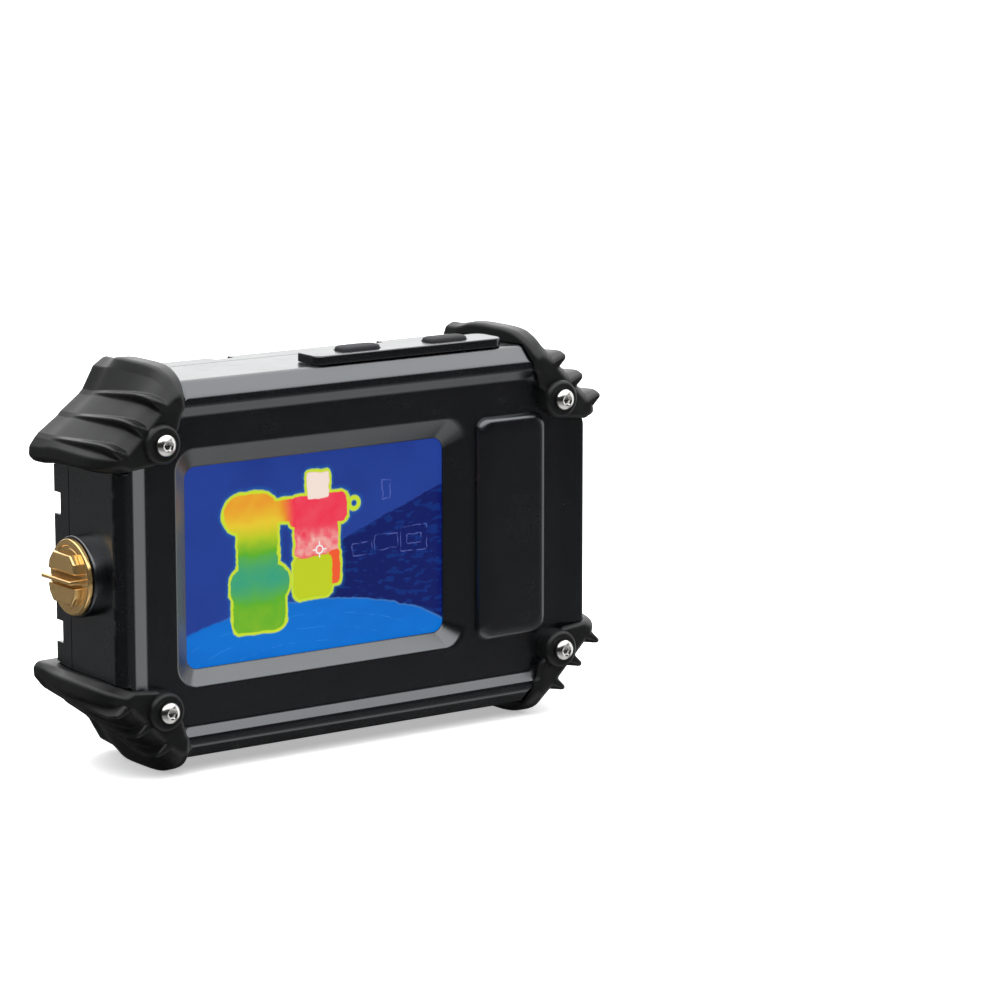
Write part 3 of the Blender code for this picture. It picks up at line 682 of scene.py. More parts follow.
@dataclass(frozen=True)
class ThermalPicture(Finish):
    """The lit display behind its window: a false-colour picture of two warm machine parts on a round table.

    The picture is worked out in millimetres from the display's lower left corner. Every shape is a box with
    round corners, (x0, x1, z0, z1, r), whose distance is |max(|p - c| - h + r, 0)| - r. The outline of the warm
    parts is the least of their distances.
    """

    name: str
    corner: tuple[float, float]
    left: tuple[Shape, ...] = ((12.2, 29.0, 33.4, 44.0, 5.2), (24.0, 37.0, 35.0, 41.4, 1.5),
                               (16.4, 29.2, 20.0, 38.0, 2.4), (14.0, 32.8, 14.0, 24.6, 4.6),
                               (14.8, 31.4, 6.8, 20.0, 3.0))
    collar: tuple[Shape, ...] = ((32.4, 51.2, 33.0, 41.7, 2.4), (34.0, 48.2, 25.0, 36.0, 1.0),
                                 (30.0, 36.0, 35.4, 40.6, 1.0))
    head: Shape = (38.0, 45.4, 40.0, 47.6, 0.8)
    base: Shape = (33.6, 46.2, 13.8, 25.8, 2.8)
    handle: Shape = (44.6, 48.6, 16.6, 26.4, 1.4)
    eye: tuple[float, float, float] = (53.0, 37.8, 1.5)
    cabinets: tuple[Shape, ...] = ((52.4, 58.6, 23.6, 27.0, 0.4), (59.4, 66.8, 24.4, 28.4, 0.4),
                                   (68.0, 76.4, 23.0, 29.6, 0.4), (69.8, 74.4, 25.0, 27.4, 0.4),
                                   (62.0, 64.6, 38.0, 43.0, 0.3))
    mark: tuple[float, float] = (42.0, 26.6)
    table_centre: tuple[float, float] = (35.0, -12.0)
    table_reach: tuple[float, float] = (58.0, 25.5)
    wall: Colour = (0.017, 0.048, 0.300)
    wall_haze: Colour = (0.010, 0.030, 0.210)
    shade: Colour = (0.002, 0.004, 0.100)
    shade_patch: Colour = (0.004, 0.05, 0.30)
    table: Colour = (0.002, 0.170, 0.660)
    table_sheen: Colour = (0.002, 0.11, 0.50)
    table_line: Colour = (0.10, 0.34, 0.80)
    table_ring: Colour = (0.05, 0.36, 0.85)
    cabinet: Colour = (0.16, 0.20, 0.62)
    halo: Colour = (0.0, 0.22, 0.62)
    outline: Colour = (0.62, 0.78, 0.02)
    hottest: Colour = (0.96, 0.80, 0.70)
    handle_heat: Colour = (0.93, 0.11, 0.02)
    base_heat: Colour = (0.56, 0.66, 0.004)
    glow: float = 0.92

    def dress(self, graph: Graph) -> None:
        """Background, the warm parts with their glow, and the target mark, under glossy glass."""
        across, _, up = graph.parts(graph.place())
        across, up = across - self.corner[0], up - self.corner[1]
        x = across + (graph.noise(2.4, 2.0) - 0.5) * 1.3
        z = up + (graph.noise(3.1, 2.0) - 0.5) * 1.1
        colour = self._warm(graph, x, z, self._ring(graph, across, up), self._background(graph, x, z))
        colour = self._target(graph, across - self.mark[0], up - self.mark[1], colour)
        graph.surface({"Base Color": rgba((0.004, 0.006, 0.012)),
                       "Roughness": 0.07 + graph.noise(12.0, 3.0) * 0.05,
                       "Emission Color": colour, "Emission Strength": self.glow, "IOR": 1.45})

    @staticmethod
    def _box(graph: Graph, x: Term, z: Term, x0: float, x1: float, z0: float, z1: float, radius: float) -> Term:
        """Distance from a box with round corners, less than 0 inside it."""
        off_x, off_z = abs(x - (x0 + x1) / 2), abs(z - (z0 + z1) / 2)
        half_x, half_z = (x1 - x0) / 2, (z1 - z0) / 2
        outside = graph.length(graph.most(off_x - (half_x - radius), 0.0),
                               graph.most(off_z - (half_z - radius), 0.0))
        return graph.most(outside - radius, off_x - half_x, off_z - half_z)

    def _union(self, graph: Graph, x: Term, z: Term, shapes: Sequence[Shape]) -> Term:
        """Distance from several boxes taken together."""
        return graph.least(*[self._box(graph, x, z, *shape) for shape in shapes])

    def _ring(self, graph: Graph, x: Term, z: Term) -> Term:
        """Distance from the small ring beside the collar."""
        x0, z0, radius = self.eye
        return abs(graph.length(x - x0, z - z0) - radius) - 0.15

    def _warm(self, graph: Graph, x: Term, z: Term, ring: Term,
              colour: bpy.types.NodeSocket) -> bpy.types.NodeSocket:
        """The warm parts over the background: halo, outline, false colours, then the parts of one colour.

        Args:
            graph: the material's graph.
            x: place across, with a little waver.
            z: place up, with a little waver.
            ring: distance from the small ring.
            colour: the background.

        Returns:
            The colour with the warm parts in it.
        """
        head, base, handle = (self._box(graph, x, z, *shape) for shape in (self.head, self.base, self.handle))
        collar = self._union(graph, x, z, self.collar)
        body = graph.least(self._union(graph, x, z, self.left), head, collar, base, handle, ring)
        halo = graph.clamped(1.0 - body / 1.9)
        colour = graph.mix(halo * halo * 0.75, colour, rgba(self.halo))
        colour = graph.mix(graph.ease(body, 0.75, 0.25), colour, rgba(self.outline))
        false_colour = self._palette(graph, self._heat(graph, x, z))
        colour = graph.mix(graph.ease(body, -0.15, -0.5), colour, false_colour)
        colour = graph.mix(graph.ease(head, -0.1, -0.5), colour, rgba(self.hottest))
        colour = graph.mix(graph.ease(handle, -0.1, -0.5), colour, rgba(self.handle_heat))
        below = graph.ease(base, -0.1, -0.5) * graph.ease(collar, -0.2, 0.3)
        return graph.mix(below, colour, rgba(self.base_heat))

    def _background(self, graph: Graph, x: Term, z: Term) -> bpy.types.NodeSocket:
        """A cool wall, darker below a slanting edge on the right, and a round table along the bottom."""
        haze = graph.ease(graph.noise(14.0, 4.0), 0.35, 0.75) * 0.45
        colour = graph.mix(haze, rgba(self.wall), rgba(self.wall_haze))
        dark = graph.ease(z - 28.5 - (x - 49.0) * 0.36, 0.35, -0.35) * graph.ease(x, 40.0, 47.0)
        colour = graph.mix(dark * 0.92, colour, rgba(self.shade))
        cool = graph.ease(graph.noise(3.0, 1.0, (1.0, 1.0, 2.5)), 0.56, 0.64) * dark * 0.35
        colour = self._table(graph, x, z, graph.mix(cool, colour, rgba(self.shade_patch)))
        lines = graph.least(*[abs(self._box(graph, x, z, *shape)) for shape in self.cabinets])
        faint = graph.ease(lines, 0.22, 0.06) * graph.ease(graph.noise(2.6, 2.0), 0.36, 0.58) * 0.5
        return graph.mix(faint, colour, rgba(self.cabinet))

    def _table(self, graph: Graph, x: Term, z: Term, colour: bpy.types.NodeSocket) -> bpy.types.NodeSocket:
        """The table, where the ellipse's own radius is under 1, with a pale rim and broken rings on it."""
        edge = graph.length((x - self.table_centre[0]) / self.table_reach[0],
                            (z - self.table_centre[1]) / self.table_reach[1])
        sheen = graph.ease(graph.noise(7.0, 3.0, (0.4, 1.0, 1.0)), 0.3, 0.8) * 0.4
        top = graph.mix(sheen, rgba(self.table), rgba(self.table_sheen))
        colour = graph.mix(graph.ease(edge, 1.01, 0.985), colour, top)
        line = graph.ease(abs(edge - 1.0), 0.014, 0.004) * graph.ease(x, 8.0, 20.0) * 0.35
        colour = graph.mix(line, colour, rgba(self.table_line))
        rings = graph.ease(abs(graph.maths("SINE", edge * 22.0)), 0.12, 0.02) * graph.ease(edge, 0.97, 0.93)
        broken = rings * graph.ease(graph.noise(3.5, 2.0), 0.45, 0.6) * 0.4
        return graph.mix(broken, colour, rgba(self.table_ring))

    @staticmethod
    def _heat(graph: Graph, x: Term, z: Term) -> Term:
        """Warmth from 0 to 1: the left body cools downwards and the centre body is hottest at its neck."""
        cooling = graph.ease(z, 22.0, 41.5) * 0.35 + graph.ease(z, 21.0, 12.0) * 0.09 + 0.345
        middle = graph.ease(x, 28.5, 35.5) * graph.ease(z, 22.0, 26.0)
        patch = (graph.noise(2.2, 3.0) - 0.5) * graph.ease(z, 34.0, 31.0) * 0.22
        hot = 0.83 + graph.ease(z, 34.0, 28.0) * 0.11 + patch
        stir = (graph.noise(5.0, 2.0) - 0.5) * 0.06
        return cooling * (1.0 - middle) + hot * middle + stir

    @staticmethod
    def _palette(graph: Graph, heat: Term) -> bpy.types.NodeSocket:
        """False colours from cold to hot."""
        stops = ((0.00, (0.002, 0.01, 0.22)), (0.20, (0.0, 0.16, 0.60)), (0.32, (0.03, 0.36, 0.24)),
                 (0.42, (0.12, 0.46, 0.012)), (0.52, (0.48, 0.62, 0.006)), (0.62, (0.86, 0.62, 0.02)),
                 (0.72, (0.88, 0.30, 0.012)), (0.82, (0.92, 0.035, 0.075)), (0.90, (0.92, 0.16, 0.18)),
                 (1.00, (0.96, 0.62, 0.52)))
        return graph.node("ShaderNodeValToRGB", {"stops": stops}, {0: heat}).outputs[0]

    @staticmethod
    def _target(graph: Graph, x: Term, z: Term, colour: bpy.types.NodeSocket) -> bpy.types.NodeSocket:
        """A small white ring with four ticks, round x = z = 0."""
        off = graph.length(x, z)
        ring = graph.ease(abs(off - 1.05), 0.26, 0.14)
        bars = graph.ease(graph.least(abs(x), abs(z)), 0.24, 0.12)
        ticks = bars * graph.ease(abs(off - 1.6), 0.62, 0.5)
        return graph.mix(graph.most(ring, ticks), colour, rgba((0.95, 0.95, 0.95)))


@dataclass(frozen=True)
class PaleFloor(Finish):
    """A seamless pale studio floor that glows a little, so that it stays even far from the lights."""

    name: str = "pale_floor"
    colour: Colour = (0.80, 0.80, 0.80)
    glow: float = 0.42

    def dress(self, graph: Graph) -> None:
        """An even colour with the faintest paper grain."""
        grain = graph.noise(3.0, 2.0)
        darker = tuple(part * 0.985 for part in self.colour)
        graph.surface({"Base Color": graph.mix(grain, rgba(self.colour), rgba(darker)), "Roughness": 0.9,
                       "Emission Color": rgba((1.0, 1.0, 1.0)), "Emission Strength": self.glow,
                       "Specular IOR Level": 0.0})


SATIN = SatinBlack()
RUBBER = MouldedRubber()
KEY_RUBBER = MouldedRubber("key_rubber", (0.0035, 0.0036, 0.0040), (0.008, 0.008, 0.009), 0.34, 0.2)
PLASTIC = MouldedPlastic()
BRUSHED = BrushedMetal()
SHEET_METAL = BrushedMetal("sheet_aluminium", (0.60, 0.60, 0.61), (0.45, 0.45, 0.46), 0.4, 0.2)
STAINLESS = PolishedMetal("machined_stainless", (0.72, 0.71, 0.69), (0.48, 0.47, 0.45), 0.2)
BRASS = PolishedMetal("polished_brass", (0.86, 0.58, 0.26), (0.60, 0.34, 0.12), 0.17)
BOARD = CircuitBoard()
WRAP = ShrinkWrap()


# ---------------------------------------------------------------------------------------------------------------
# The bench: puts surfaces into the scene, in the frame's place


# Edges that turn by more than this many degrees are not smoothed over.
CRISP = 38.0


@dataclass
class Bench:
    """Makes objects from surfaces and fits them to the frame.

    Args:
        origin: the housing frame's origin in the row frame, in metres.
        count: pieces made so far.
    """

    origin: Array
    count: int = 0

    @classmethod
    def on_frame(cls) -> Bench:
        """The bench for the loaded frame: the rear shell fixes the origin's X and Z, the lens disc's back its Y."""
        low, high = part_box("rear_shell")
        disc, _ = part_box("lens_plate")
        return cls(np.array([(low.x + high.x) / 2, disc.y - 28.0 * MM, low.z]))

    def spot(self, x: float, y: float, z: float) -> tuple[float, float, float]:
        """A point of the housing frame in metres of the row frame."""
        return tuple(float(part) for part in np.array([x, y, z]) * MM + self.origin)

    def rows_mm(self, x: float, y: float, z: float) -> tuple[float, float, float]:
        """A point of the housing frame in millimetres of the row frame."""
        return tuple(float(part) for part in np.array([x, y, z]) + self.origin / MM)

    def piece(self, name: str, surfaces: Sequence[Surface], finish: Finish, body: str = "housing",
              replaces: Sequence[str] = (), sharp: float = CRISP) -> bpy.types.Object:
        """Makes one object from surfaces and rides it on a body.

        Args:
            name: the object's name.
            surfaces: its closed skins.
            finish: what it is made of.
            body: the frame body that it rides on.
            replaces: frame nodes that it stands for.
            sharp: edges that turn by more than this many degrees stay crisp.

        Returns:
            The object.
        """
        return self.fit(name, self.mesh(name, surfaces), finish, body, replaces, sharp)

    def mesh(self, name: str, surfaces: Sequence[Surface]) -> bpy.types.Mesh:
        """One clean mesh from surfaces in the row frame.

        Args:
            name: the mesh's name.
            surfaces: closed skins, in millimetres.

        Returns:
            The mesh, in metres of the scene.
        """
        starts = np.cumsum([0] + [s.points.shape[0] * s.points.shape[1] for s in surfaces])
        points = np.concatenate([s.points.reshape(-1, 3) for s in surfaces]) * MM + self.origin
        faces = [face for start, s in zip(starts, surfaces) for face in s.faces(int(start))]
        made = bpy.data.meshes.new(name)
        made.from_pydata(points.tolist(), [], faces)
        clean(made)
        return made

    def fit(self, name: str, mesh: bpy.types.Mesh, finish: Finish, body: str, replaces: Sequence[str],
            sharp: float) -> bpy.types.Object:
        """Gives a finished mesh its object, smooth shading and place on the frame.

        Args:
            name: the object's name.
            mesh: the finished mesh.
            finish: what it is made of.
            body: the frame body that it rides on.
            replaces: frame nodes that it stands for.
            sharp: edges that turn by more than this many degrees stay crisp.

        Returns:
            The object.
        """
        mesh.shade_smooth()
        mesh.set_sharp_from_angle(angle=math.radians(sharp))
        mesh.materials.clear()
        mesh.materials.append(finish.material())
        obj = bpy.data.objects.new(name, mesh)
        bpy.context.scene.collection.objects.link(obj)
        weighted = obj.modifiers.new("Weighted", "WEIGHTED_NORMAL")
        weighted.keep_sharp = True
        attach(obj, body)
        if replaces:
            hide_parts(*replaces)
        self.count += 1
        LOG.info("%s: %d vertices on %s", name, len(mesh.vertices), body)
        return obj

    def carve(self, obj: bpy.types.Object, tools: Sequence[Surface]) -> None:
        """Cuts closed surfaces out of an object's mesh with an exact Boolean.

        Args:
            obj: the object that is cut.
            tools: closed skins of what is taken away.
        """
        mesh = self.mesh("carving_tool", tools)
        tool = bpy.data.objects.new("carving_tool", mesh)
        bpy.context.scene.collection.objects.link(tool)
        cut = obj.modifiers.new("Cut", "BOOLEAN")
        cut.operation, cut.solver, cut.use_self, cut.object = "DIFFERENCE", "EXACT", True, tool
        while obj.modifiers[0] != cut:
            obj.modifiers.move(len(obj.modifiers) - 1, 0)
        others = [m for m in obj.modifiers if m != cut]
        for modifier in others:
            modifier.show_viewport = False
        graph = bpy.context.evaluated_depsgraph_get()
        result = bpy.data.meshes.new_from_object(obj.evaluated_get(graph))
        obj.modifiers.remove(cut)
        for modifier in others:
            modifier.show_viewport = True
        old, obj.data = obj.data, result
        bpy.data.meshes.remove(old)
        bpy.data.objects.remove(tool)
        bpy.data.meshes.remove(mesh)
        result.shade_smooth()
        result.set_sharp_from_angle(angle=math.radians(CRISP))

    def reuse(self, node: str, name: str, finish: Finish, width: float = 0.2, body: str = "housing") -> bpy.types.Object:
        """A merged copy of a frame node with softened edges, in its place.

        Args:
            node: the frame node.
            name: the copy's name.
            finish: what it is made of.
            width: width of the softened edges.
            body: the frame body that it rides on.

        Returns:
            The object.
        """
        mesh = bpy.data.objects[node].data.copy()
        mesh.name = name
        work = bmesh.new()
        work.from_mesh(mesh)
        bmesh.ops.remove_doubles(work, verts=work.verts, dist=MERGE)
        bmesh.ops.dissolve_limit(work, angle_limit=math.radians(0.6), verts=work.verts, edges=work.edges)
        work.to_mesh(mesh)
        work.free()
        obj = self.fit(name, mesh, finish, body, (node,), 30.0)
        soft = obj.modifiers.new("Softened", "BEVEL")
        soft.width, soft.segments, soft.limit_method = width * MM, 2, "ANGLE"
        soft.angle_limit, soft.use_clamp_overlap, soft.miter_outer = math.radians(32.0), True, "MITER_ARC"
        obj.modifiers.move(1, 0)
        return obj

    def dress(self, node: str, finish: Finish) -> None:
        """Gives a frame node that stays as it is a better finish."""
        obj = bpy.data.objects[node]
        obj.data.materials.clear()
        obj.data.materials.append(finish.material())
        LOG.info("%s: dressed in %s", node, finish.name)


def clean(mesh: bpy.types.Mesh) -> None:
    """Merges a new mesh's doubled points at seams and poles and points its faces outwards."""
    work = bmesh.new()
    work.from_mesh(mesh)
    bmesh.ops.remove_doubles(work, verts=work.verts, dist=MERGE)
    bmesh.ops.dissolve_degenerate(work, edges=work.edges, dist=MERGE / 2)
    bmesh.ops.recalc_face_normals(work, faces=work.faces)
    work.to_mesh(mesh)
    work.free()


CORNERS: tuple[tuple[str, int, int], ...] = (
    ("upper_right", 1, 1), ("upper_left", -1, 1), ("lower_right", 1, -1), ("lower_left", -1, -1))
MIDDLE_Z = 49.2


def mirrored(points: Array | Sequence[float], sx: int, sz: int) -> Array:
    """Points of the upper right corner, (..., 2), moved to another corner of the shell."""
    return (np.asarray(points, float) - (0.0, MIDDLE_Z)) * (sx, sz) + (0.0, MIDDLE_Z)


# ---------------------------------------------------------------------------------------------------------------
# Sub-assemblies


@dataclass
class FrontShell:
    """The tray-shaped front shell: outer wall, chamfer, recessed face, sloped screen frame, grip pad and boss.

    Each station of the skin is (y, x0, x1, z0, z1, cut, radius): an eight-sided outline with rounded corners. A
    round-cornered rectangle is the same outline with cut = 0.586 times its radius.
    """

    half: float = 74.0
    height: float = 98.4
    cut: float = 20.0
    parting: float = 25.6
    chamfer: float = 4.0
    side_chamfer: float = 2.0
    worn_reach: float = 0.7
    wall: float = 5.6
    pan: float = 1.6
    bezel: tuple[float, float, float, float] = (-56.8, 33.0, 19.0, 81.0)
    screen: tuple[float, float, float, float] = (-51.9, 28.7, 22.8, 75.6)
    pad: tuple[float, float, float, float] = (36.9, 59.4, 19.4, 80.4)
    boss: tuple[float, float] = (17.6, 48.4)

    def build(self, bench: Bench) -> None:
        """Makes the shell's skin with its pad and boss as one piece."""
        shell = bench.piece("front_shell_cover", [self._skin(), self._pad(), self._boss()], SATIN,
                            replaces=("front_shell",))
        self._wear(shell, bench)

    def _skin(self) -> Surface:
        """The stations, softened and carried along Y, closing inside the cavity."""
        h, top, c = self.half, self.height, self.chamfer
        bx0, bx1, bz0, bz1 = self.bezel
        sx0, sx1, sz0, sz1 = self.screen
        inner = h - 8.5
        stations = np.array([
            (self.parting, -h, h, 0, top, self.cut, 1.4),
            (c, -h, h, 0, top, self.cut, 1.4),
            (0, -h + self.side_chamfer, h - self.side_chamfer, c, top - c, self.cut - 1.76, 1.6),
            (0, -70.4, 70.4, 6.3, top - 6.3, 11.92, 2.6),
            (self.pan, -65.9, 65.9, 8.9, top - 8.9, 11.0, 3.6),
            (self.pan, bx0, bx1, bz0, bz1, 3.4, 5.6),
            (self.wall - 0.4, sx0, sx1, sz0, sz1, 1.9, 3.2),
            (self.wall, sx0, sx1, sz0, sz1, 1.9, 3.2),
            (self.wall, -inner, inner, 8.5, top - 8.5, 22.0, 1.0),
            (self.parting, -inner, inner, 8.5, top - 8.5, 22.0, 1.0)])
        before = (0.03, 0.04, 0.16, 0.28, 0.12, 0.04, 0.08, 0.2, 0.0, 0.0)
        after = (0.0, 0.16, 0.25, 0.10, 0.04, 0.10, 0.3, 0.0, 0.02, 0.0)
        path = soften(stations, before, after, 5, ring=True)
        outlines = fillet(eight_sided(*path[:, 1:6].T), path[:, 6:7], 7)
        return carried(Axis.Y, outlines, path[:, 0], Closing.RING)

    def _pad(self) -> Surface:
        """The raised pad: a rounded rectangle that draws in and crowns a little towards its face."""
        x0, x1, z0, z1 = self.pad
        corners = rectangle(x0, x1, z0, z1)
        stations = ((2.4, 0.0), (self.pan - 0.2, 0.0), (0.1, 0.55), (-0.6, 1.7), (-0.62, 6.0))
        return slab(Axis.Y, corners, 3.4, stations, 0.42, 9)

    def _boss(self) -> Surface:
        """The round boss on the left side with its counterbore, as one ring about X."""
        profile = np.array([(10.6, -73.4), (10.6, -77.25), (10.3, -77.6), (9.15, -77.6), (9.0, -77.45), (9.0, -76.35),
                            (6.5, -76.3), (6.5, -73.4)])
        path = soften(profile, (0, 0.1, 0.4, 0.1, 0.4, 0.1, 0, 0), (0, 0.4, 0.1, 0.4, 0.1, 0.1, 0, 0), 4, ring=True)
        return turned(Axis.X, self.boss, path, 96, Closing.RING)

    def _wear(self, shell: bpy.types.Object, bench: Bench) -> None:
        """Marks how near each vertex is to the chamfer's outer edge: 1 on it, fading to 0 within a short way.

        Args:
            shell: the object that gets the attribute.
            bench: the bench, whose origin the depths are counted from.
        """
        mesh = shell.data
        points = np.empty(len(mesh.vertices) * 3, np.float32)
        mesh.vertices.foreach_get("co", points)
        y = (points.reshape(-1, 3)[:, 1] - bench.origin[1]) / MM
        wear = np.clip(1.0 - np.abs(y - self.chamfer) / self.worn_reach, 0.0, 1.0).astype(np.float32)
        layer = mesh.attributes.new("wear", "FLOAT", "POINT")
        layer.data.foreach_set("value", wear)


@dataclass
class Guard:
    """One moulded corner guard: a wall round the shell's corner with three saw teeth, a front lug and screw seats.

    The outline has eleven corners of its own and three for each tooth. Along Y it goes from the small front outline
    over the full wall to the flat rear plate, and the teeth sink into the wall towards the rear.
    """

    place: str
    sx: int
    sz: int
    front_y: float = -1.6
    rear_y: float = 38.5
    lug: tuple[float, float] = (62.7, 83.7)
    lug_radius: float = 5.2
    teeth: tuple[tuple[float, float], ...] = ((78.8, 84.9), (73.0, 90.7), (67.2, 96.5))
    screws: tuple[tuple[float, float], ...] = ((56.9, 91.6), (68.8, 79.4))
    middle: tuple[float, float] = (63.0, 85.6)

    def build(self, bench: Bench) -> None:
        """Makes the guard, cuts the shell and the screw seats out of it and adds the lug."""
        guard = bench.piece(f"corner_guard_{self.place}", [self._body()], RUBBER,
                            replaces=(f"guard_{self.place}",))
        bench.carve(guard, self._seats())
        bench.piece(f"guard_lug_{self.place}", [self._lug()], RUBBER)

    def _outline(self, own: Array, tooth_height: float, *sides: float) -> Array:
        """Eleven corners with the teeth put in after the eighth.

        A tooth has a foot, a tip and a heel on the slanting side, where x + z is the given sum, one for all teeth or
        one for each. The tip stands off it by tooth_height times the full tooth.

        Args:
            own: the eleven corners, (11, 2).
            tooth_height: how high the teeth stand, 1 for the full tooth.
            sides: x + z of the slanting side.

        Returns:
            The outline, (20, 2).
        """
        diagonal = np.broadcast_to(sides, 3)
        tips = np.asarray(self.teeth)
        foot_s = tips[:, 0] - tips[:, 1] + 1.1 - tooth_height
        heel_s = tips[:, 0] - tips[:, 1] - 1.2 - 3.2 * tooth_height
        tip_sum = diagonal + (tips.sum(1) - diagonal) * tooth_height
        tip_s = tips[:, 0] - tips[:, 1]
        sums = np.stack([diagonal, tip_sum, diagonal], 1).reshape(-1)
        spans = np.stack([foot_s, tip_s, heel_s], 1).reshape(-1)
        toothed = np.stack([(sums + spans) / 2, (sums - spans) / 2], -1)
        return np.concatenate([own[:8], toothed, own[8:]])

    def _body(self) -> Surface:
        """Outlines at the stations along Y, softened into one flowing skin."""
        front = np.array([(55.4, 92.0), (56.2, 90.8), (57.4, 86.8), (61.4, 80.0), (64.0, 78.4), (71.5, 77.6),
                          (74.4, 79.0), (74.0, 80.4), (58.8, 95.2), (56.8, 96.0), (55.6, 94.6)])
        wall = np.array([(52.2, 93.0), (53.6, 92.0), (54.4, 89.0), (65.4, 78.5), (68.0, 76.6), (75.5, 76.2),
                         (78.8, 77.4), (78.8, 80.6), (60.2, 99.6), (58.6, 102.4), (53.6, 102.4)])
        rear = np.array([(51.2, 95.3), (51.2, 92.6), (53.4, 88.7), (64.4, 78.0), (67.3, 75.3), (77.4, 75.5),
                         (78.8, 77.0), (78.6, 79.6), (59.2, 98.9), (55.6, 101.2), (53.0, 100.0)])
        wall_sides, rear_sides = (159.6, 158.4, 157.6), (158.7, 157.0, 155.6)
        outlines = np.stack([
            inset(self._outline(front, 0.92, 154.4), 2.6), self._outline(front, 0.97, 154.4),
            self._outline(0.35 * front + 0.65 * wall, 1.0, 158.0), self._outline(wall, 0.72, 158.8),
            self._outline(wall, 0.0, *wall_sides), self._outline(rear, 0.0, *rear_sides),
            self._outline(rear, 0.0, *rear_sides), inset(self._outline(rear, 0.0, *rear_sides), 2.6)])
        y = np.array([self.front_y, self.front_y, 2.6, 9.0, 27.0, 33.0, self.rear_y, self.rear_y])
        stations = np.concatenate([y[:, None], outlines.reshape(len(y), -1)], 1)
        path = soften(stations, (0.42, 0.34, 0.4, 0.35, 0.4, 0.3), (0.36, 0.4, 0.35, 0.4, 0.4, 0.42), 6)
        rings = mirrored(path[:, 1:].reshape(len(path), -1, 2), self.sx, self.sz)
        radii = np.full(rings.shape[1], 1.6)
        radii[8:17] = 0.75
        return carried(Axis.Y, fillet(rings, radii, 5), path[:, 0])

    def _lug(self) -> Surface:
        """The round lug at the front with a rounded rim and a seat for the screw's head."""
        profile = np.array([(0.01, 2.6), (self.lug_radius, 2.6), (self.lug_radius, -2.5), (4.3, -3.3), (3.2, -3.2),
                            (3.1, -3.15), (0.01, -3.15)])
        path = soften(profile, (0.1, 0.2, 0.4, 0.3, 0.3), (0.1, 0.5, 0.4, 0.3, 0.1), 5)
        centre = mirrored(self.lug, self.sx, self.sz)
        return turned(Axis.Y, (float(centre[0]), float(centre[1])), path, 72)

    def _seats(self) -> list[Surface]:
        """The shell's block and the screws' seats, all of them cut out of the guard."""
        grow = 0.3
        y = np.array([-grow, 4.0 - grow, 32.3])
        half = np.array([72.0, 74.0, 74.0]) + grow
        low = np.array([4.0, 0.0, 0.0]) - grow
        cut = np.array([18.24, 20.0, 20.0]) + 0.586 * grow
        block = carried(Axis.Y, fillet(eight_sided(-half, half, low, 98.4 - low, cut), 1.0, 4), y)
        seats = [block]
        for x, z in mirrored(self.screws, self.sx, self.sz):
            seats.append(turned(Axis.Y, (x, z), np.array([(3.1, 37.5), (3.1, 39.5)]), 48))
        x, z = mirrored(self.middle, self.sx, self.sz)
        seats.append(turned(Axis.Y, (x, z), np.array([(2.75, 35.0), (2.75, 39.5)]), 48))
        return seats


class Head(Enum):
    """Kinds of socket screw."""

    CAP = "tall head with straight, knurled sides"
    BUTTON = "low domed head"


@dataclass(frozen=True)
class SocketScrew:
    """A screw with a hexagon socket, turned about Y.

    The radius at angle a is the profile's, times 1 - h + h cos(30) / cos((a mod 60) - 30) where h is how far the row
    is a hexagon, and times 1 + k cos(24 a) where the row is knurled.
    """

    name: str
    x: float
    z: float
    seat: float
    direction: int
    length: float
    head: Head

    def surface(self) -> Surface:
        """The whole screw: shank, head, socket."""
        if self.head is Head.CAP:
            shank, knurl = 1.25, 0.012
            rows = [(2.33, 0.0, 0, 0), (2.33, 0.05, 0, 1), (2.33, 2.15, 0, 1), (2.25, 2.32, 0, 0), (2.05, 2.5, 0, 0),
                    (1.55, 2.5, 0, 0), (1.38, 2.42, 1, 0), (1.22, 2.2, 1, 0), (1.2, 1.1, 1, 0), (0.01, 0.9, 0, 0)]
        else:
            shank, knurl = 1.5, 0.0
            rise = np.linspace(0.0, 1.0, 8)
            dome = [(2.85 - 1.35 * t**1.9, 0.3 + 1.35 * t**0.75, 0, 0) for t in rise]
            rows = [(2.75, 0.0, 0, 0), (2.85, 0.12, 0, 0), *dome, (1.42, 1.62, 0.3, 0), (1.26, 1.5, 1, 0),
                    (1.2, 1.3, 1, 0), (1.18, 0.75, 1, 0), (0.01, 0.6, 0, 0)]
        table = np.array([(0.01, -self.length, 0, 0), (shank - 0.2, -self.length, 0, 0),
                          (shank, -self.length + 0.2, 0, 0), (shank, 0.0, 0, 0), *rows])
        angle = np.arange(96) * 2 * math.pi / 96
        hexagon = math.cos(math.pi / 6) / np.cos(np.mod(angle, math.pi / 3) - math.pi / 6)
        radius, height, hexed, knurled = (column[:, None] for column in table.T)
        reach = radius * (1 - hexed + hexed * hexagon) * (1 + knurl * knurled * np.cos(24 * angle))
        across = np.stack([self.x + reach * np.cos(angle), self.z + reach * np.sin(angle)], -1)
        return Surface(along(Axis.Y, across, self.seat + self.direction * np.broadcast_to(height, reach.shape)))

    def build(self, bench: Bench, replaces: Sequence[str] = ()) -> None:
        """Makes the screw."""
        bench.piece(self.name, [self.surface()], STAINLESS, replaces=replaces, sharp=32.0)


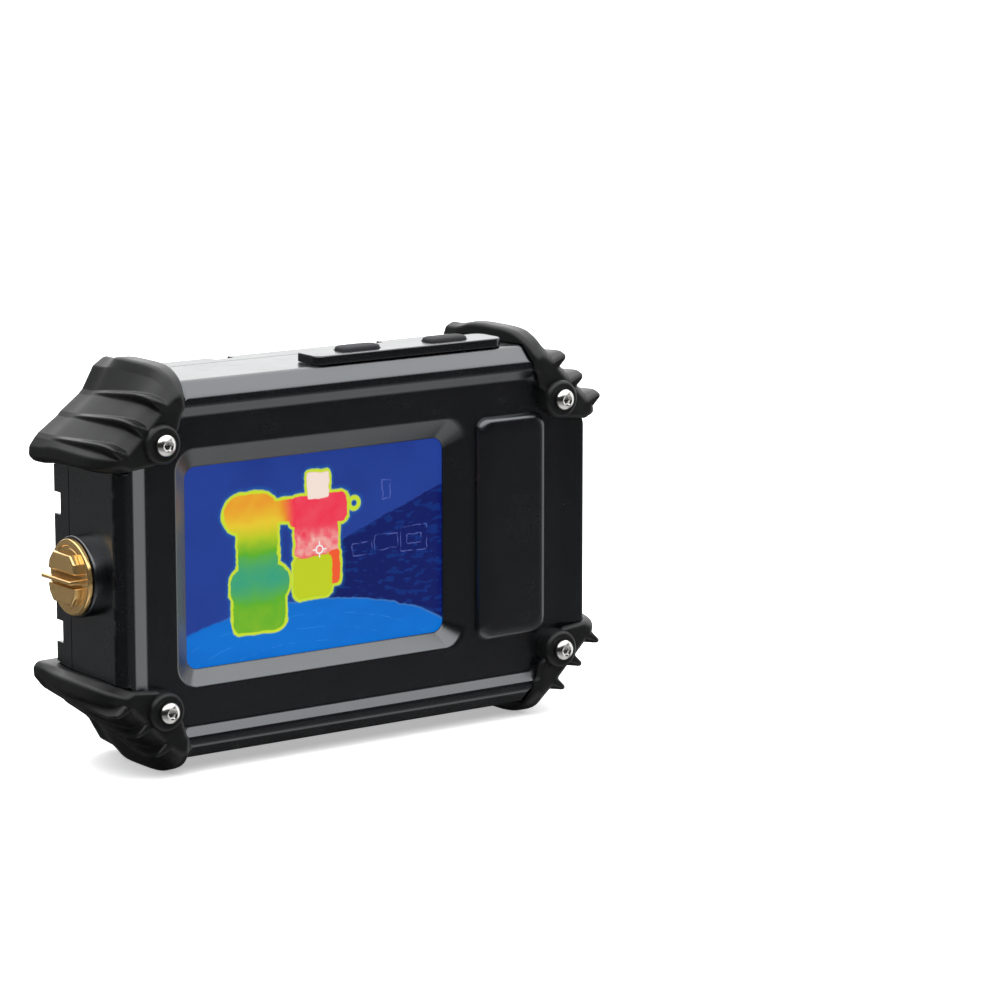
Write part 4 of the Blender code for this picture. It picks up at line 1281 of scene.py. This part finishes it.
@dataclass
class Fasteners:
    """Every screw of the housing: eight round the edge, four under the guards' middles and three to each guard."""

    edge: tuple[tuple[float, float], ...] = ((23.8, 92.9), (-23.8, 92.9), (23.5, 5.5), (-23.5, 5.5), (69.4, 65.1),
                                             (69.4, 31.4), (-69.4, 65.1), (-69.4, 31.4))
    lug: tuple[float, float] = (62.7, 83.7)
    middle: tuple[float, float] = (63.0, 85.6)
    pair: tuple[tuple[float, float], ...] = ((56.9, 91.6), (68.8, 79.4))

    def build(self, bench: Bench) -> None:
        """Makes the screws in the nodes' places."""
        for number, (x, z) in enumerate(self.edge, 1):
            self._make(bench, f"edge_screw_{number}", x, z, 30.4, 1, 16.0, Head.CAP)
        for place, sx, sz in CORNERS:
            x, z = mirrored(self.lug, sx, sz)
            self._make(bench, f"lug_screw_{place}", x, z, -3.5, -1, 15.0, Head.BUTTON)
            x, z = mirrored(self.middle, sx, sz)
            self._make(bench, f"corner_screw_{place}", x, z, 35.3, 1, 18.5, Head.CAP)
            for letter, spot in zip("ab", self.pair):
                x, z = mirrored(spot, sx, sz)
                self._make(bench, f"guard_screw_{letter}_{place}", x, z, 37.8, 1, 10.0, Head.BUTTON)

    @staticmethod
    def _make(bench: Bench, node: str, x: float, z: float, seat: float, direction: int, length: float,
              head: Head) -> None:
        """Makes one screw in place of a node."""
        SocketScrew(f"{node}_turned", float(x), float(z), seat, direction, length, head).build(bench, (node,))


@dataclass
class Screen:
    """The display under its window."""

    corner: tuple[float, float] = (-51.9, 22.8)

    def build(self, bench: Bench) -> None:
        """Lights the window's face and dresses what lies behind it."""
        corner = bench.rows_mm(self.corner[0], 0, self.corner[1])
        picture = ThermalPicture("thermal_picture", (corner[0], corner[2]))
        bench.dress("display_window", picture)
        bench.dress("window_seal", RUBBER)
        bench.dress("display_panel", PLASTIC)


@dataclass
class Keys:
    """The key frame on the top face, two keys and their springs."""

    frame: tuple[float, float, float, float] = (-12.1, 47.8, 3.6, 14.6)
    frame_z: tuple[float, float] = (98.7, 101.0)
    y: float = 9.2
    length: float = 12.6
    depth: float = 5.4
    top: float = 102.3
    spring: tuple[float, float] = (94.3, 99.3)
    spots: tuple[tuple[str, float], ...] = (("power", 4.2), ("shutter", 32.2))

    def build(self, bench: Bench) -> None:
        """Makes the frame, then each key with its stem and its spring."""
        x0, x1, y0, y1 = self.frame
        z0, z1 = self.frame_z
        plan = rectangle(x0, x1, y0, y1)
        stations = ((z0, 0.15), (z0, 0.0), (z1, 0.0), (z1, 1.6))
        frame = bench.piece("key_frame", [slab(Axis.Z, plan, 2.6, stations, 0.28)], SATIN,
                            replaces=("keypad_frame",))
        bench.carve(frame, [self._block(x, 0.3, 98.0, 102.0) for _, x in self.spots])
        for name, x in self.spots:
            self._key(bench, name, x)

    def _block(self, x: float, grow: float, z0: float, z1: float) -> Surface:
        """A straight block with a key's outline."""
        half_x, half_y = self.length / 2 + grow, self.depth / 2 + grow
        plan = rectangle(x - half_x, x + half_x, self.y - half_y, self.y + half_y)
        return carried(Axis.Z, np.broadcast_to(fillet(plan, 2.2, 8), (2, 32, 2)), np.array([z0, z1]))

    def _key(self, bench: Bench, name: str, x: float) -> None:
        """A domed key with a stem, and the coil under it.

        Args:
            bench: where the pieces are made.
            name: the key's name, which its body and its joint begin with.
            x: the middle of the key.
        """
        half_x, half_y = self.length / 2, self.depth / 2
        plan = rectangle(x - half_x, x + half_x, self.y - half_y, self.y + half_y)
        low, high = self.spring
        cap = slab(Axis.Z, plan, 1.9, ((low + 5.3, 0.3), (low + 5.3, 0.0), (self.top - 0.5, 0.0),
                                       (self.top - 0.12, 0.9), (self.top, 2.3)), 0.4, 8)
        stem = turned(Axis.Z, (x, self.y), np.array([(1.2, 88.6), (1.5, 88.9), (1.5, high + 0.8)]), 32)
        bench.piece(f"{name}_key", [cap, stem], KEY_RUBBER, f"{name}_button", (f"{name}_button",))
        spring = bench.piece(f"{name}_coil", [coil((x, self.y), low, high, 2.9, 0.22, 6.0)], STAINLESS,
                             replaces=(f"{name}_spring",))
        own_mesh(spring)


@dataclass
class LensUnit:
    """The brushed disc with its two openings, six screws and the two windows behind it."""

    x: float = -16.2
    z: float = 48.8
    disc_y: float = 29.0
    screw_circle: float = 15.6
    screw_angles: tuple[float, ...] = (90, 30, -30, -90, -150, 150)

    def build(self, bench: Bench) -> None:
        """Makes the disc, the carrier and the windows."""
        bench.reuse("lens_plate", "lens_disc", BRUSHED, 0.12)
        bench.reuse("lens_carrier", "window_carrier", PLASTIC, 0.15)
        bench.dress("lens_seal", RUBBER)
        for number, degrees in enumerate(self.screw_angles, 1):
            x = self.x + self.screw_circle * math.cos(math.radians(degrees))
            z = self.z + self.screw_circle * math.sin(math.radians(degrees))
            SocketScrew(f"disc_screw_{number}", x, z, self.disc_y, 1, 1.0, Head.BUTTON).build(bench)
        centre = bench.rows_mm(self.x, 27.5, self.z + 5.1)
        mint = CoatedGlass("germanium_coating", (0.44, 0.62, 0.42), (0.30, 0.47, 0.36), centre, 4.7, 0.16)
        path = soften(np.array([(0.01, 25.4), (4.7, 25.4), (4.7, 27.3), (4.3, 27.55), (2.0, 27.75), (0.01, 27.8)]),
                      (0.1, 0.2, 0.4, 0.5), (0.1, 0.4, 0.4, 0.5), 5)
        bench.piece("infrared_window", [turned(Axis.Y, (self.x, self.z + 5.1), path, 80)], mint,
                    replaces=("ir_window",))
        low = bench.rows_mm(self.x, 27.5, self.z - 6.2)
        grey = CoatedGlass("camera_glass", (0.10, 0.14, 0.20), (0.035, 0.05, 0.08), low, 4.6, 0.06)
        bench.piece("camera_pane", [self._pane()], grey, replaces=("camera_window",))

    def _pane(self) -> Surface:
        """A square pane whose sides bow inwards: the half width at angle a is 3.65 (1 - 0.04 (1 - sin(2a)^2))."""
        count = 96
        angle = np.arange(count) * 2 * math.pi / count + math.pi / 4
        square = 1 / np.maximum(np.abs(np.cos(angle)), np.abs(np.sin(angle)))
        reach = 3.65 * square * (1 - 0.05 * (1 - np.sin(2 * angle) ** 2)) * np.where(square > 1.34, 0.975, 1.0)
        outline = np.stack([reach * np.cos(angle), reach * np.sin(angle)], -1)
        scale = np.array([0.01, 1.0, 1.0, 0.95, 0.5, 0.01])
        y = np.array([25.4, 25.4, 27.35, 27.5, 27.62, 27.65])
        rings = outline[None] * scale[:, None, None] + (self.x, self.z - 6.2)
        return carried(Axis.Y, rings, y)


@dataclass
class Torch:
    """The torch's plate, window and screws."""

    x: float = 12.7
    z: float = 75.5
    plate_y: float = 33.3
    screw_x: float = 10.4
    screw_z: float = 8.1

    def build(self, bench: Bench) -> None:
        """Makes the plate, the frosted window and four screws."""
        bench.reuse("torch_plate", "torch_cover", BRUSHED, 0.12)
        plan = rectangle(self.x - 5.6, self.x + 5.6, self.z - 3.5, self.z + 3.5)
        stations = ((30.2, 0.3), (30.2, 0.0), (31.7, 0.0), (31.85, 0.5), (31.9, 1.8))
        bench.piece("torch_lens", [slab(Axis.Y, plan, 3.45, stations, 0.4, 10)], FrostedGlass(),
                    replaces=("torch_window",))
        bench.dress("torch_seal", RUBBER)
        bench.dress("torch_board", BOARD)
        for number, (sx, sz) in enumerate(((1, 0), (0, 1), (-1, 0), (0, -1)), 1):
            x, z = self.x + sx * self.screw_x, self.z + sz * self.screw_z
            SocketScrew(f"torch_screw_{number}", x, z, self.plate_y, 1, 3.0, Head.BUTTON).build(bench)
            collar = np.array([(0.01, 31.8), (2.55, 31.8), (2.55, self.plate_y + 0.1), (0.01, self.plate_y + 0.1)])
            bench.piece(f"torch_collar_{number}", [turned(Axis.Y, (x, z), collar, 48)], STAINLESS)


@dataclass
class Plug:
    """The brass port plug: a turned disc and shank, two half-blocks to grip and a thin rib between them."""

    y: float = 17.6
    z: float = 48.4
    under: float = -77.9
    radius: float = 9.9

    def build(self, bench: Bench) -> None:
        """Makes the plug and its sealing ring."""
        bench.piece("brass_plug", [self._disc(), self._block(1), self._block(-1), self._rib()], BRASS, "plug",
                    ("port_plug",))
        tube = circle(16) * 0.5 + (8.05, -77.1)
        bench.piece("plug_ring", [turned(Axis.X, (self.y, self.z), tube, 72, Closing.RING)], RUBBER, "plug_carrier",
                    ("port_plug_seal",))

    def _disc(self) -> Surface:
        """Shank and disc, turned about X, with a rounded rim and a shallow groove round the face."""
        u = self.under
        profile = np.array([(0.01, -69.6), (5.7, -69.6), (6.0, -69.9), (6.0, u), (self.radius, u),
                            (self.radius, u - 0.85), (self.radius - 0.45, u - 1.2), (8.3, u - 1.2), (8.15, u - 1.05),
                            (7.75, u - 1.05), (7.6, u - 1.2), (0.01, u - 1.2)])
        shares = [0.15, 0.3, 0.1, 0.05, 0.3, 0.35, 0.3, 0.3, 0.3, 0.3]
        return turned(Axis.X, (self.y, self.z), soften(profile, shares, shares, 4), 112)

    def _block(self, side: int) -> Surface:
        """A half-block above or below the slot, with its outer corners cut off."""
        corners = np.array([(-6.9, 1.7), (6.9, 1.7), (6.2, 4.4), (4.4, 6.5), (-4.4, 6.5), (-6.2, 4.4)])
        corners = (corners * (1, side))[::side] + (self.y, self.z)
        top = self.under - 3.5
        stations = ((self.under - 1.0, 0.0), (top + 0.4, 0.0), (top, 0.35), (top, 1.5))
        return slab(Axis.X, corners, 0.35, stations, 0.35, 4)

    def _rib(self) -> Surface:
        """The rib across the middle, which stands out furthest."""
        corners = rectangle(-7.3, 7.3, -0.6, 0.6) + (self.y, self.z)
        tip = self.under - 5.3
        stations = ((self.under - 1.0, 0.0), (tip + 0.5, 0.0), (tip, 0.3), (tip, 0.5))
        return slab(Axis.X, corners, 0.2, stations, 0.35, 4)


@dataclass
class Internals:
    """The rear shell and the pieces inside, which keep the frame's shapes."""

    finishes: dict[str, Finish] = field(default_factory=lambda: {
        "shell_seal": RUBBER, "chassis": SHEET_METAL, "main_board": BOARD, "switch_board": BOARD,
        "battery_pack": WRAP, "thermal_core": PLASTIC, "thermal_lens": STAINLESS, "visible_camera": PLASTIC,
        "port_socket": STAINLESS})

    def build(self, bench: Bench) -> None:
        """Softens the rear shell's edges and dresses the rest."""
        bench.reuse("rear_shell", "rear_shell_cover", SATIN, 0.28)
        for node, finish in self.finishes.items():
            bench.dress(node, finish)


# ---------------------------------------------------------------------------------------------------------------
# Studio


@dataclass
class Studio:
    """Floor, surroundings, lights and camera.

    The floor keeps out of mirror-like reflections. The surroundings carry what the gloss shows instead: a bright
    ceiling, a bright side on the right, a bright wall behind on the right and a dim floor in front.
    """

    yaw: float = 36.14
    pitch: float = 10.44
    distance: float = 1093.17
    focal: float = 144.096
    target: tuple[float, float, float] = (54.85, 15.0, 54.29)
    floor_half: float = 9.0
    darkest: float = 0.012

    def build(self, bench: Bench) -> None:
        """Sets the whole studio up."""
        self._camera(bench)
        self._floor()
        self._surroundings()
        self._lights()
        bpy.context.scene.view_settings.view_transform = "Standard"

    def _camera(self, bench: Bench) -> None:
        """A long lens from the front left, a little above."""
        yaw, pitch = math.radians(self.yaw), math.radians(self.pitch)
        forward = Vector((math.sin(yaw) * math.cos(pitch), math.cos(yaw) * math.cos(pitch), -math.sin(pitch)))
        data = bpy.data.cameras.new("camera")
        data.lens, data.sensor_width = self.focal, 36.0
        data.clip_start, data.clip_end = 0.05, 60.0
        camera = bpy.data.objects.new("camera", data)
        camera.location = Vector(bench.spot(*self.target)) - forward * self.distance * MM
        camera.rotation_euler = forward.to_track_quat("-Z", "Y").to_euler()
        bpy.context.scene.collection.objects.link(camera)
        bpy.context.scene.camera = camera

    def _floor(self) -> None:
        """A wide flat floor."""
        h = self.floor_half
        mesh = bpy.data.meshes.new("studio_floor")
        mesh.from_pydata([(-h, -h, 0), (h, -h, 0), (h, h, 0), (-h, h, 0)], [], [(0, 1, 2, 3)])
        mesh.materials.append(PaleFloor().material())
        floor = bpy.data.objects.new("studio_floor", mesh)
        bpy.context.scene.collection.objects.link(floor)
        floor.visible_glossy = False

    def _surroundings(self) -> None:
        """Brightness by direction (dx, dy, dz), built from smooth steps."""
        world = bpy.data.worlds.new("studio_surroundings")
        bpy.context.scene.world = world
        world.use_nodes = True
        graph = Graph(world.node_tree)
        dx, dy, dz = graph.parts(graph.node("ShaderNodeTexCoord").outputs["Generated"])
        ceiling = graph.ease(dz, 0.40, 0.62) * 2.6
        right = graph.ease(dx, 0.74, 0.92) * graph.ease(dz, -0.75, -0.3) * 1.3
        behind = graph.ease(dy, 0.35, 0.72) * graph.ease(dx, -0.15, 0.35) * graph.ease(dz, 0.0, 0.18) * 2.5
        low = graph.ease(dz, -0.16, -0.40) * graph.ease(dy, 0.15, -0.15) * 0.30
        low = low + graph.ease(dz, -0.55, -0.80) * graph.ease(dy, 0.15, -0.05) * 0.5
        fill = graph.ease(dy, 0.40, 0.70) * graph.ease(dz, -0.6, -0.3) * 0.16
        total = graph.most(self.darkest + graph.most(ceiling, right, behind, low), fill)
        background = graph.node("ShaderNodeBackground", {}, {"Color": rgba((1.0, 1.0, 1.0)), "Strength": total})
        graph.node("ShaderNodeOutputWorld", {}, {"Surface": background.outputs[0]})

    def _lights(self) -> None:
        """Two soft panels for form and shadow, kept out of reflections."""
        for name, spot, size, power in (("key_panel", (-0.5, -0.7, 1.5), 1.0, 9.0),
                                        ("back_panel", (0.9, 0.9, 1.3), 1.2, 7.0)):
            data = bpy.data.lights.new(name, "AREA")
            data.shape, data.size, data.energy = "DISK", size, power
            light = bpy.data.objects.new(name, data)
            light.location = spot
            light.rotation_euler = (Vector((0, 0, 0.05)) - Vector(spot)).to_track_quat("-Z", "Y").to_euler()
            light.visible_glossy = False
            bpy.context.scene.collection.objects.link(light)


def clear_start() -> None:
    """Removes whatever the scene starts with."""
    for obj in list(bpy.data.objects):
        bpy.data.objects.remove(obj, do_unlink=True)


def main() -> None:
    """Builds the whole camera on its frame."""
    logging.basicConfig(level=logging.INFO, format="%(name)s: %(message)s")
    clear_start()
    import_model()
    bench = Bench.on_frame()
    makers: list[Any] = [FrontShell(), Internals(), *[Guard(*corner) for corner in CORNERS], Fasteners(), Screen(),
                         Keys(), LensUnit(), Torch(), Plug(), Studio()]
    for maker in makers:
        LOG.info("building %s", type(maker).__name__)
        maker.build(bench)
    LOG.info("%d pieces made", bench.count)


if __name__ == "__main__":
    main()
